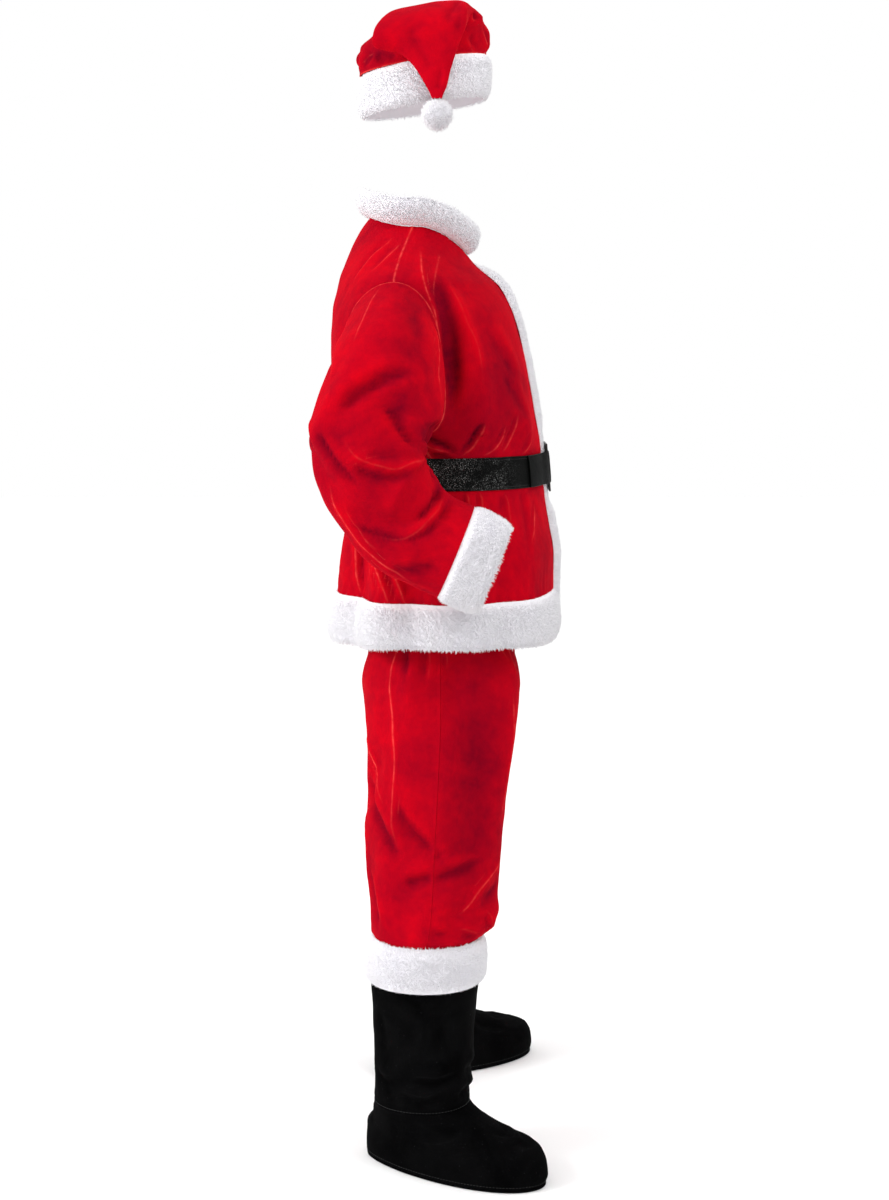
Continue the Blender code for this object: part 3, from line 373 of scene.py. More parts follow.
# ---- creases
def crease_relief(creases: Sequence[Crease], surface: Surface, points: Array,
                  outward: Array) -> tuple[Array, Array, Array]:
    """The relief of sharp creases and the painted highlight lines along them.

    Args:
        creases: The creases, in the surface's coordinates.
        surface: The surface that they lie on.
        points: Points of the piece.
        outward: Unit normals there.

    Returns:
        How far out each point goes, signed distance to the nearest painted highlight, its strength.
    """
    flat = points.reshape(-1, 3)
    facing = outward.reshape(-1, 3)
    relief = np.zeros(len(flat))
    line = np.full(len(flat), FAR_FROM_LINE)
    strength = np.zeros(len(flat))
    for crease in creases:
        keys = np.linspace(0.0, 1.0, len(crease.path))
        steps = np.linspace(0.0, 1.0, CREASE_STEPS)
        around = smooth_curve(keys, [p[0] for p in crease.path], steps)
        along = smooth_curve(keys, [p[1] for p in crease.path], steps)
        path = surface(around, along)
        width = 0.001 * crease.width
        reach = 5.0 * width + 0.01
        near = np.all((flat > path.min(0) - reach) & (flat < path.max(0) + reach), axis=1)
        chosen = np.nonzero(near)[0]
        if not len(chosen):
            continue
        start, leg = path[:-1], np.diff(path, axis=0)
        offset = flat[chosen, None, :] - start
        part = np.clip((offset * leg).sum(-1) / (leg ** 2).sum(-1), 0.0, 1.0)
        away = offset - leg * part[..., None]
        gap = (away ** 2).sum(-1)
        best = gap.argmin(1)
        pick = np.arange(len(chosen))
        distance = np.sqrt(gap[pick, best])
        side = np.cross(facing[chosen], leg[best])
        signed = np.where((away[pick, best] * side).sum(-1) >= 0, distance, -distance)
        travel = (best + part[pick, best]) / len(leg)
        fade = ease(0.0, CREASE_GROWN, travel) * (1.0 - ease(CREASE_FADING, 1.0, travel))
        width = width * (CREASE_NARROW + (1.0 - CREASE_NARROW) * fade)
        trough = -crease.depth * np.exp(-np.abs(distance / width) ** 1.6)
        rise = (signed - SHOULDER_PLACE * width) / (SHOULDER_WIDTH * width)
        swell = crease.shoulder * np.exp(-rise ** 2)
        relief[chosen] += 0.001 * (trough + swell) * fade
        # Where the painted highlight runs: beside a trough, or on top of a ridge.
        crest_highlight = signed - (LINE_PLACE * width if crease.depth > 0.0 else 0.0)
        glow = crease.line * fade * (1.0 - ease(0.007, 0.011, np.abs(crest_highlight)))
        former, known = strength[chosen], line[chosen]
        clash = (glow > 0.0) & (former > 0.0) & (crest_highlight * known < 0.0)
        taken = (glow > former) | ((glow == former) & (np.abs(crest_highlight) < np.abs(known)))
        line[chosen] = np.where(taken, crest_highlight, known)
        strength[chosen] = np.where(clash, 0.0, np.maximum(former, glow))
    shape = points.shape[:-1]
    return relief.reshape(shape), line.reshape(shape), strength.reshape(shape)


def moved(creases: Sequence[Crease], turn: float, shift: float, stretch: float = 1.0,
          width: float = 1.0, depth: float = 1.0, line: float = 1.0) -> tuple[Crease, ...]:
    """The same creases elsewhere, so that two sides aren't alike.

    Args:
        creases: The creases.
        turn: Added to their angles.
        shift: Added to their places along the piece.
        stretch: Scales their angles first; -1 takes them to the other side.
        width: Scales their widths.
        depth: Scales their depths.
        line: Scales their painted highlight lines.

    Returns:
        The new creases.
    """
    return tuple(Crease(tuple((a * stretch + turn, b + shift) for a, b in crease.path),
                        crease.width * width, crease.depth * depth, crease.shoulder,
                        crease.line * line) for crease in creases)


# ---- meshes
def named_material(name: str) -> bpy.types.Material:
    """The material that a finish has made; the frame's own materials have the bare names."""
    return bpy.data.materials[f"{name}_finish"]


def linked(name: str, data: bpy.types.ID) -> Object:
    """A new object of the scene."""
    piece = bpy.data.objects.new(name, data)
    bpy.context.scene.collection.objects.link(piece)
    return piece


def set_values(mesh: bpy.types.Mesh, values: dict[str, Array]) -> None:
    """Stores values for each point, by attribute name."""
    for label, value in values.items():
        attribute = mesh.attributes.new(label, "FLOAT", "POINT")
        attribute.data.foreach_set("value", value.ravel())


def grid_quads(rows: int, columns: int, closed: bool) -> Array:
    """Point numbers of a grid's cells; closed joins the last column to the first."""
    number = np.arange(rows * columns).reshape(rows, columns)
    after = np.roll(number, -1, axis=1)
    if not closed:
        number, after = number[:, :-1], after[:, :-1]
    cells = np.stack([number[:-1], after[:-1], after[1:], number[1:]], axis=-1)
    return cells.reshape(-1, 4)


def rim_quads(row: Array, count: int, closed: bool) -> Array:
    """The rim between a row of outer point numbers and the same row of the inner face."""
    after = np.roll(row, -1)
    if not closed:
        row, after = row[:-1], after[:-1]
    return np.stack([after, row, row + count, after + count], axis=-1)


def cell_places(outer: Array, closed: bool) -> Array:
    """UV values in metres for the corners of a grid's cells.

    Args:
        outer: The grid of points.
        closed: Whether the last column joins the first.

    Returns:
        An array of cells, four corners, two values.
    """
    wide = np.concatenate([outer, outer[:, :1]], axis=1) if closed else outer
    both = np.stack(np.meshgrid(run_along(wide, 1).mean(0), run_along(outer, 0).mean(1)), axis=-1)
    cells = np.stack([both[:-1, :-1], both[:-1, 1:], both[1:, 1:], both[1:, :-1]], axis=2)
    return cells.reshape(-1, 4, 2)


def wall_faces(outer: Array, closed: bool) -> tuple[Array, Array]:
    """The faces of a wall whose inner points are numbered after its outer ones.

    Args:
        outer: The grid of its outer points.
        closed: Whether the last column joins the first.

    Returns:
        Four point numbers for each face, and two UV values in metres for each of these.
    """
    rows, columns = outer.shape[:2]
    count = rows * columns
    number = np.arange(count).reshape(rows, columns)
    face, places = grid_quads(rows, columns, closed), cell_places(outer, closed)
    rims = [rim_quads(number[0], count, closed), rim_quads(number[-1][::-1], count, closed)]
    if not closed:
        rims += [rim_quads(number[::-1, 0], count, False), rim_quads(number[:, -1], count, False)]
    rim = np.concatenate(rims)
    return (np.concatenate([face, face[:, ::-1] + count, rim]),
            np.concatenate([places, places[:, ::-1], np.zeros((len(rim), 4, 2))]))


def wall_mesh(name: str, outer: Array, inner: Array, values: dict[str, Array], material: str,
              closed: bool) -> Object:
    """A smooth closed wall between two grids of points.

    Args:
        name: The object's name.
        outer: Its outer face, with heights above the soles.
        inner: Its inner face, of the same shape.
        values: Values for each point of the grid or of the two, by attribute name.
        material: The material's name.
        closed: Whether the last column joins the first.

    Returns:
        The object, linked to the scene.
    """
    quads, places = wall_faces(outer, closed)
    points = np.concatenate([outer.reshape(-1, 3), inner.reshape(-1, 3)]) - NECK
    first, second, third, fourth = (points[quads[:, corner]] for corner in range(4))
    if (first * (np.cross(second, third) + np.cross(third, fourth))).sum() < 0:
        quads, places = quads[:, ::-1], places[:, ::-1]
    mesh = bpy.data.meshes.new(name)
    mesh.vertices.add(len(points))
    mesh.vertices.foreach_set("co", points.ravel())
    mesh.loops.add(quads.size)
    mesh.loops.foreach_set("vertex_index", quads.ravel())
    mesh.polygons.add(len(quads))
    mesh.polygons.foreach_set("loop_start", np.arange(len(quads)) * 4)
    mesh.polygons.foreach_set("loop_total", np.full(len(quads), 4))
    mesh.update(calc_edges=True)
    mesh.validate()
    mesh.shade_smooth()
    mesh.uv_layers.new(name="cloth").uv.foreach_set("vector", places.ravel())
    shape = (2, *outer.shape[:2])
    set_values(mesh, {label: np.broadcast_to(value, shape) for label, value in values.items()})
    mesh.set_sharp_from_angle(angle=SHARP_ANGLE)
    mesh.materials.append(named_material(material))
    return linked(name, mesh)


def run_along(points: Array, axis: int) -> Array:
    """How far each point of a grid lies from the first one of its column (0) or row (1)."""
    run = np.cumsum(length_of(np.diff(points, axis=axis))[..., 0], axis=axis)
    return np.insert(run, 0, 0.0, axis=axis)


def edge_distances(grid: Array) -> dict[Edge, Array]:
    """How far each point of a grid lies from each of the grid's edges, along the cloth."""
    from_left, from_foot = run_along(grid, 1), run_along(grid, 0)
    return {
        Edge.FIRST_COLUMN: from_left, Edge.LAST_COLUMN: from_left[:, -1:] - from_left,
        Edge.FIRST_ROW: from_foot, Edge.LAST_ROW: from_foot[-1:] - from_foot,
    }


def even_columns(surface: Surface, start: Array, end: Array, place: Array,
                 count: int) -> tuple[Array, Array]:
    """A grid whose columns cut each row of a surface into even lengths.

    Args:
        surface: The surface.
        start: The first angle of each row.
        end: The last angle of each row.
        place: Each row's place along the surface.
        count: How many columns.

    Returns:
        The grid's angles and its places.
    """
    share = np.linspace(0.0, 1.0, 241)
    trial = start[:, None] + (end - start)[:, None] * share
    run = run_along(surface(trial, np.broadcast_to(place[:, None], trial.shape)), 1)
    target = np.linspace(0.0, 1.0, count)
    angles = np.stack([np.interp(target, row / row[-1], turns) for row, turns in zip(run, trial)])
    return angles, np.broadcast_to(place[:, None], angles.shape)


def even_places(surface: Surface, last: float, turn: float, count: int = 0) -> Array:
    """Places along a tube that lie evenly apart, as a mean of four paths.

    Args:
        surface: The tube's surface.
        last: Its last place; the first is 0.
        turn: The first path's angle.
        count: How many places, or 0 for one each MESH_STEP.

    Returns:
        The places.
    """
    trial = np.linspace(0.0, last, 300)
    around = (turn + 90.0 * np.arange(4))[:, None]
    paths = surface(*np.broadcast_arrays(around, trial))
    run = np.insert(np.cumsum(length_of(np.diff(paths, axis=1))[..., 0].mean(0)), 0, 0.0)
    count = count or int(run[-1] / MESH_STEP) + 2
    return np.interp(np.linspace(0.0, run[-1], count), run, trial)


def ring_grid(count: int, places: Array) -> Sequence[Array]:
    """Even angles right round a tube, and its places, as two grids."""
    return np.broadcast_arrays((np.arange(count) * 360.0 / count)[None, :], places[:, None])


def mirrored(points: Array, side: Side) -> Array:
    """Points made for the wearer's right, moved to the side that is asked for."""
    return points if side is Side.RIGHT else points * np.array([-1.0, 1.0, 1.0])


@dataclass
class ClothPanel:
    """One cut piece of cloth: a thin wall on a smooth form, with creases, seams and gathers.

    node is the CAD node that it stands for. At a held edge the relief dies out, so that the piece
    meets another form; at a seam the cloth dips. gathered gives the depth of an edge's gathers.
    """

    node: str
    surface: Surface
    creases: Sequence[Crease] = ()
    seams: tuple[Edge, ...] = ()
    held: tuple[Edge, ...] = ()
    gathered: dict[Edge, float] = field(default_factory=dict)
    crumple: float = 0.0006
    crumple_wave: float = 0.085
    crumple_detail: float = 0.038
    material: str = "red_velvet"
    closed: bool = False
    centred: bool = False
    seed: int = 1
    held_reach: float = 0.014
    seam_stiff: float = 0.012
    seam_reach: float = 0.0055
    seam_width: float = 0.0028
    seam_depth: float = 0.0008
    seam_fading: float = 0.0
    gather_wave: float = 0.017
    gather_reach: float = 0.030
    # Relief at which the painted fold shade and highlight are full.
    full_fold_shade: float = 0.006

    def gathers(self, points: Array, distance: dict[Edge, Array]) -> Array:
        """The relief of the gathers along the gathered edges."""
        total = np.zeros(points.shape[:2])
        for edge, depth in self.gathered.items():
            run = distance[Edge.FIRST_ROW if "column" in edge.value else Edge.FIRST_COLUMN]
            bend = 1.6 * ripple(points, 0.06, self.seed + 3)
            wave = np.sin(2 * math.pi * run / self.gather_wave + bend)
            wave = wave + 0.6 * np.sin(2 * math.pi * run / (1.63 * self.gather_wave) - 1.4 * bend)
            total = total + depth * wave * np.exp(-distance[edge] / self.gather_reach)
        return total

    def build(self, points: Array, outward: Array, side: Side = Side.RIGHT,
              most: Array | float = 1.0, share: Array | float = 1.0) -> Object:
        """The piece, in its place on the suit.

        Args:
            points: Grid of points on the smooth form.
            outward: Unit normals there.
            side: The side that it is made for, from points of the right side.
            most: How far out the relief may stand, where something presses on the cloth.
            share: How much of the relief shows, where the cloth is tucked into something.

        Returns:
            The object.
        """
        distance = edge_distances(points)
        relief, line, strength = crease_relief(self.creases, self.surface, points, outward)
        relief = relief + self.crumple * ripple(points, self.crumple_wave, self.seed)
        relief = relief + 0.5 * self.crumple * ripple(points, self.crumple_detail, self.seed + 7)
        relief = relief + self.gathers(points, distance)
        for edge in self.held:
            relief = relief * ease(0.0, self.held_reach, distance[edge])
        seam = np.full(relief.shape, FAR_FROM_SEAM)
        for edge in self.seams:
            relief = relief * ease(-0.001, self.seam_stiff, distance[edge])
            seam = np.minimum(seam, distance[edge])
        dip = np.exp(-((seam - self.seam_reach) / self.seam_width) ** 2)
        relief = np.minimum(relief - self.seam_depth * dip, most)
        outer = points + outward * (relief * share)[..., None]
        inner = outer - outward * CLOTH
        if self.centred:
            inner[..., 0] = np.minimum(inner[..., 0], -CENTRE_GAP)
        # The relief is also stored to paint shade into the colour: darker in troughs and hollows,
        # lighter on swellings.
        values = {"fold_shade_and_tone": np.clip(relief / self.full_fold_shade, -1.0, 1.0), "line": line,
                  "highlight_strength": strength, "seam": seam + self.seam_fading}
        piece = wall_mesh(f"{self.node}_cloth", mirrored(outer, side), mirrored(inner, side),
                          values, self.material, self.closed)
        return placed(piece, self.material, self.node)


# ---- pile and stitches
class NodeTree:
    """A short hand for building a node tree; an input is given as a socket or a plain value."""

    def __init__(self, tree: bpy.types.NodeTree) -> None:
        """Keeps the tree."""
        self.tree = tree

    def fill(self, target: Socket, value: object) -> None:
        """Links an input to a socket or sets its value; a colour's fourth number is added."""
        if isinstance(value, Socket):
            self.tree.links.new(value, target)
        else:
            target.default_value = (*value, 1.0) if target.type == "RGBA" else value

    def add(self, kind: str, inputs: dict[str | int, object] | None = None,
            **settings: object) -> bpy.types.Node:
        """A node of a kind with its settings and inputs."""
        node = self.tree.nodes.new(kind)
        for name, value in settings.items():
            setattr(node, name, value)
        for key, value in (inputs or {}).items():
            self.fill(node.inputs[key], value)
        return node

    def maths(self, operation: str, *values: object) -> Socket:
        """The result of a Math node."""
        return self.add("ShaderNodeMath", dict(enumerate(values)), operation=operation).outputs[0]

    def spread(self, value: Socket, low: float, high: float, to_low: float,
               to_high: float) -> Socket:
        """A value moved from one range to another, and kept inside it."""
        names = ("Value", "From Min", "From Max", "To Min", "To Max")
        inputs = dict(zip(names, (value, low, high, to_low, to_high)))
        return self.add("ShaderNodeMapRange", inputs).outputs["Result"]

    def noise(self, place: Socket, scale: object, detail: float, roughness: float = 0.5,
              distortion: float = 0.0) -> Socket:
        """A noise from 0 to 1 at a scale per metre."""
        return self.add("ShaderNodeTexNoise", {
            "Vector": place, "Scale": scale, "Detail": detail, "Roughness": roughness,
            "Distortion": distortion}).outputs["Fac"]

    def attribute(self, name: str) -> Socket:
        """A value that the mesh carries."""
        return self.add("ShaderNodeAttribute", attribute_name=name).outputs["Fac"]

    def blend(self, share: object, first: object, second: object) -> Socket:
        """A colour between two."""
        return self.add("ShaderNodeMix", {0: share, 6: first, 7: second},
                        data_type="RGBA").outputs[2]

    def planted(self, given: Sockets, result: Sockets, points: Socket, instance: Socket,
                way: Socket, scale: Socket, ground: Socket | None = None) -> None:
        """Ends a Geometry Nodes tree with shapes on points, made real and finished.

        Args:
            given: The tree's inputs.
            result: The tree's outputs.
            points: Where the shapes stand.
            instance: The shape.
            way: Where its Z points.
            scale: Its scale.
            ground: What it stands on, if that is kept.
        """
        turn = self.add("FunctionNodeAlignRotationToVector", {"Vector": way}, axis="Z")
        smooth = self.add("GeometryNodeSetShadeSmooth", {"Geometry": instance})
        geometry = self.add("GeometryNodeInstanceOnPoints", {
            "Points": points, "Instance": smooth.outputs["Geometry"],
            "Rotation": turn.outputs["Rotation"], "Scale": scale}).outputs["Instances"]
        if ground:
            joined = self.add("GeometryNodeJoinGeometry", {0: geometry})
            self.fill(joined.inputs[0], ground)
            geometry = joined.outputs[0]
        real = self.add("GeometryNodeRealizeInstances", {"Geometry": geometry})
        dress = self.add("GeometryNodeSetMaterial",
                         {"Geometry": real.outputs[0], "Material": given["Finish"]})
        self.fill(result["Geometry"], dress.outputs[0])


def node_group(kind: str, name: str, inputs: dict[str, tuple[str, object]],
               outputs: dict[str, str]) -> tuple[NodeTree, Sockets, Sockets]:
    """An empty node tree with named sockets.

    Args:
        kind: The kind of tree.
        name: Its name.
        inputs: A socket type and a default value for each input.
        outputs: A socket type for each output.

    Returns:
        The tree, what it is given and what it gives.
    """
    tree = bpy.data.node_groups.new(name, kind)
    for label, (socket_type, value) in inputs.items():
        socket = tree.interface.new_socket(label, in_out="INPUT", socket_type=socket_type)
        if value is not None:
            socket.default_value = value
    for label, socket_type in outputs.items():
        tree.interface.new_socket(label, in_out="OUTPUT", socket_type=socket_type)
    nodes = NodeTree(tree)
    return nodes, nodes.add("NodeGroupInput").outputs, nodes.add("NodeGroupOutput").inputs


@cache
def pile_tree() -> bpy.types.NodeTree:
    """The tree that plants tapered tufts on a piece's face, leaning at random and a little down."""
    nodes, given, result = node_group("GeometryNodeTree", "plush_pile", {
        "Geometry": (GEOMETRY, None), "Tufts per m2": (FLOAT, 200000.0),
        "Tuft length": (FLOAT, 0.006), "Tuft radius": (FLOAT, 0.001), "Lean": (FLOAT, 0.8),
        "Hang": (FLOAT, 0.3), "Seed": ("NodeSocketInt", 1), "Finish": (MATERIAL, None),
    }, {"Geometry": GEOMETRY})
    cone = nodes.add("GeometryNodeMeshCone", {
        "Vertices": 3, "Side Segments": 1, "Radius Top": 0.0,
        "Radius Bottom": given["Tuft radius"], "Depth": given["Tuft length"]}, fill_type="NONE")
    position = nodes.add("GeometryNodeInputPosition").outputs[0]
    height = nodes.add("ShaderNodeSeparateXYZ", {0: position}).outputs["Z"]
    share = nodes.maths("DIVIDE", height, given["Tuft length"])
    # Each tuft is darker towards its root, painted shade between the tufts: the level goes from 0.35
    # there to 1 at its end.
    tuft = nodes.add("GeometryNodeStoreNamedAttribute", {
        "Name": "tip", "Geometry": cone.outputs["Mesh"],
        "Value": nodes.maths("MULTIPLY_ADD", share, 0.65, 0.35)}, data_type="FLOAT", domain="POINT")
    fur = nodes.add("GeometryNodeInputNamedAttribute", {"Name": "fur"},
                    data_type="FLOAT").outputs["Attribute"]
    scatter = nodes.add("GeometryNodeDistributePointsOnFaces", {
        "Mesh": given["Geometry"], "Seed": given["Seed"],
        "Density": nodes.maths("MULTIPLY", fur, given["Tufts per m2"])}, distribute_method="RANDOM")
    chance = nodes.add("FunctionNodeRandomValue", {
        0: (-1.0, -1.0, -1.0), 1: (1.0, 1.0, 1.0), "Seed": given["Seed"]}, data_type="FLOAT_VECTOR")
    leaning = nodes.add("ShaderNodeVectorMath", {0: chance.outputs[0], "Scale": given["Lean"]},
                        operation="SCALE")
    hanging = nodes.add("ShaderNodeCombineXYZ", {"Z": nodes.maths("MULTIPLY", given["Hang"], -1.0)})
    way = scatter.outputs["Normal"]
    for bend in (leaning, hanging):
        way = nodes.add("ShaderNodeVectorMath", {0: way, 1: bend.outputs[0]},
                        operation="ADD").outputs[0]
    size = nodes.add("FunctionNodeRandomValue", {2: 0.65, 3: 1.2, "Seed": given["Seed"]},
                     data_type="FLOAT").outputs[1]
    scale = nodes.maths("MULTIPLY", size, nodes.maths("MULTIPLY_ADD", fur, 0.7, 0.3))
    nodes.planted(given, result, scatter.outputs["Points"], tuft.outputs["Geometry"], way, scale,
                  given["Geometry"])
    return nodes.tree


@cache
def stitch_tree() -> bpy.types.NodeTree:
    """The tree that lays short thick stitches end to end along a chain of edges."""
    nodes, given, result = node_group("GeometryNodeTree", "seam_stitches", {
        "Geometry": (GEOMETRY, None), "Pitch": (FLOAT, 0.005), "Stitch length": (FLOAT, 0.0036),
        "Thread": (FLOAT, 0.0007), "Finish": (MATERIAL, None),
    }, {"Geometry": GEOMETRY})
    curve = nodes.add("GeometryNodeMeshToCurve", {"Mesh": given["Geometry"]}).outputs["Curve"]
    spaced = nodes.add("GeometryNodeResampleCurve", {"Curve": curve, "Length": given["Pitch"]},
                       mode="LENGTH")
    tangent = nodes.add("GeometryNodeInputTangent").outputs[0]
    bead = nodes.add("GeometryNodeMeshIcoSphere", {"Radius": 0.5, "Subdivisions": 2})
    size = nodes.add("ShaderNodeCombineXYZ", {
        "X": given["Thread"], "Y": given["Thread"], "Z": given["Stitch length"]})
    nodes.planted(given, result, spaced.outputs["Curve"], bead.outputs["Mesh"], tangent,
                  size.outputs[0])
    return nodes.tree


def applied(piece: Object) -> bpy.types.Mesh:
    """Makes what a piece's modifiers give its plain mesh, and removes them."""
    bpy.context.view_layer.update()
    depsgraph = bpy.context.evaluated_depsgraph_get()
    mesh = bpy.data.meshes.new_from_object(piece.evaluated_get(depsgraph),
                                           preserve_all_data_layers=True, depsgraph=depsgraph)
    piece.modifiers.clear()
    old, piece.data = piece.data, mesh
    bpy.data.meshes.remove(old)
    mesh.name = piece.name
    return mesh


def grown(piece: Object, tree: bpy.types.NodeTree, values: dict[str, object]) -> Object:
    """Runs a Geometry Nodes tree on a piece and keeps its result as the piece's mesh.

    Args:
        piece: The piece.
        tree: The tree.
        values: Its inputs by name.

    Returns:
        The same piece, with a plain mesh and no modifier.
    """
    modifier = piece.modifiers.new("grown", "NODES")
    modifier.node_group = tree
    for item in tree.interface.items_tree:
        if item.in_out == "INPUT" and item.name in values:
            modifier[item.identifier] = values[item.name]
    applied(piece)
    return piece


@dataclass
class PlushTrim:
    """A strip or band of plush: a soft base with its pile.

    node is the CAD node that it stands for. tufts is their number on a square metre. The base lies
    sunk below the tips of the pile, which is short at the sewn edge and a fringe at the free one.
    """

    node: str
    closed: bool = False
    seed: int = 1
    fill: float = 0.5
    tufts: float = 360000.0
    tuft_length: float = 0.0050
    tuft_radius: float = 0.00085
    lean: float = 0.50
    hang: float = 0.35
    sunk: float = 0.0029
    least: float = 0.0019
    lump: float = 0.0007
    lump_wave: float = 0.034
    lump_detail: float = 0.015
    sewn_reach: float = 0.007
    free_reach: float = 0.005
    # Painted shade levels for the base's outer and inner faces, on the scale of the tufts' roots.
    root_shade: float = 0.35
    inner_shade: float = 0.2
    sewn: Edge = Edge.LAST_ROW
    free: Edge = Edge.FIRST_ROW

    def build(self, face: Array, outward: Array, depth: Array, inner: Array,
              side: Side = Side.RIGHT) -> None:
        """The band, in its place on the suit.

        Args:
            face: Grid of points that the depth is counted from.
            outward: Unit normals there.
            depth: How far out the tips of the pile stand, for each point or each row.
            inner: The band's inner face.
            side: The side that it is made for, from points of the right side.
        """
        lumps = self.lump * ripple(face, self.lump_wave, self.seed)
        lumps = lumps + 0.6 * self.lump * ripple(face, self.lump_detail, self.seed + 5)
        base = np.maximum(depth - self.sunk + lumps, self.least)
        outer = face + outward * base[..., None]
        distance = edge_distances(face)
        fur = 1.0 - 0.7 * np.exp(-(distance[self.sewn] / self.sewn_reach) ** 2)
        fur = fur + 0.3 * np.exp(-(distance[self.free] / self.free_reach) ** 2)
        # fur sets where tufts grow; the base carries a low level of painted shade under the tufts.
        values = {"fur": np.stack([fur, 0.0 * fur]),
                  "tip": np.array([self.root_shade, self.inner_shade])[:, None, None]}
        self.finish(wall_mesh(f"{self.node}_plush", mirrored(outer, side), mirrored(inner, side),
                              values, "white_plush", self.closed))

    def finish(self, piece: Object) -> None:
        """Gives the piece its tufts and its place on the suit."""
        grown(piece, pile_tree(), {
            "Tufts per m2": self.tufts, "Tuft length": self.tuft_length,
            "Tuft radius": self.tuft_radius, "Lean": self.lean, "Hang": self.hang,
            "Seed": self.seed, "Finish": named_material("white_plush"),
        })
        placed(piece, "white_plush", self.node)


def pile_depth(rows: Sequence[PlushRow], share: Array) -> Array:
    """How deep a trim is at shares of its width, a row for each."""
    return read(rows, share).depth[:, None] * FUR


def stitched(name: str, chains: Sequence[Array], material: str, pitch: float = 0.005,
             thread: float = 0.0008) -> Object:
    """Rows of stitches along chains of points.

    Args:
        name: The object's name.
        chains: The rows, with heights above the soles.
        material: The thread's material.
        pitch: From one stitch to the next.
        thread: The thread's thickness.

    Returns:
        The object.
    """
    points = np.concatenate(chains) - NECK
    edges, first = [], 0
    for chain in chains:
        edges += [(first + step, first + step + 1) for step in range(len(chain) - 1)]
        first += len(chain)
    mesh = bpy.data.meshes.new(name)
    mesh.from_pydata(points.tolist(), edges, [])
    return grown(linked(name, mesh), stitch_tree(), {
        "Pitch": pitch, "Stitch length": 0.74 * pitch, "Thread": thread,
        "Finish": named_material(material),
    })


def placed(piece: Object, slot: str, *nodes: str) -> Object:
    """Rides the piece on the suit and hides the nodes that it stands for."""
    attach(piece, ROOT)
    if nodes:
        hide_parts(*nodes)
    LOG.info("%s: %d faces", piece.name, len(piece.data.polygons))
    return piece


# ---- jacket
BODY = table(
    Section, (0.836, 0.272, -0.03, -0.213, 0.146, 2.2), (0.913, 0.263, -0.03, -0.212, 0.141, 2.2),
    (0.97, 0.252, -0.03, -0.213, 0.136, 2.2), (1.02, 0.24, -0.028, -0.205, 0.131, 2.2),
    (1.07, 0.222, -0.025, -0.197, 0.128, 2.2), (1.112, 0.214, -0.022, -0.1935, 0.127, 2.2),
    (1.155, 0.224, 0.0, -0.189, 0.134, 2.3), (1.2, 0.237, 0.018, -0.18, 0.146, 2.5),
    (1.25, 0.238, 0.034, -0.171, 0.151, 2.6), (1.3, 0.238, 0.043, -0.161, 0.152, 2.5),
    (1.35, 0.237, 0.045, -0.149, 0.15, 2.2), (1.405, 0.225, 0.045, -0.127, 0.14, 1.8),
    (1.44, 0.176, 0.038, -0.108, 0.127, 1.75), (1.47, 0.126, 0.028, -0.089, 0.11, 1.85),
    (1.497, 0.088, 0.018, -0.07, 0.09, 2.0),
)
FLUTES = table(
    Flute, (-158, 13, 0.009), (-140, 9, -0.011), (-122, 12, 0.012), (-104, 9, -0.009),
    (-84, 13, 0.008), (-63, 9, -0.008), (-44, 12, 0.005), (38, 12, 0.005), (58, 9, -0.008),
    (78, 13, 0.009), (100, 9, -0.011), (119, 12, 0.012), (137, 9, -0.009), (160, 13, 0.008),
    (179, 8, -0.008),
)
BODY_FOLDS = table(
    Fold, (-72, 1.27, 60, 0.15, 5, -0.011), (-60, 1.23, 90, 0.12, 6, 0.007),
    (72, 1.27, -60, 0.15, 5, -0.011), (60, 1.23, -90, 0.12, 6, 0.007),
    (-45, 1.17, 120, 0.07, 7, -0.006), (-30, 1.175, 60, 0.06, 6, 0.006),
    (40, 1.17, -120, 0.07, 7, -0.006), (27, 1.18, -60, 0.06, 6, 0.005),
    (-130, 1.26, -80, 0.2, 9, -0.009), (130, 1.26, 80, 0.2, 9, -0.009),
    (-160, 1.18, -60, 0.09, 8, 0.007), (164, 1.175, 60, 0.09, 8, 0.007),
    (180, 1.2, 0, 0.12, 8, -0.007), (-105, 1.17, 60, 0.06, 7, 0.006),
)
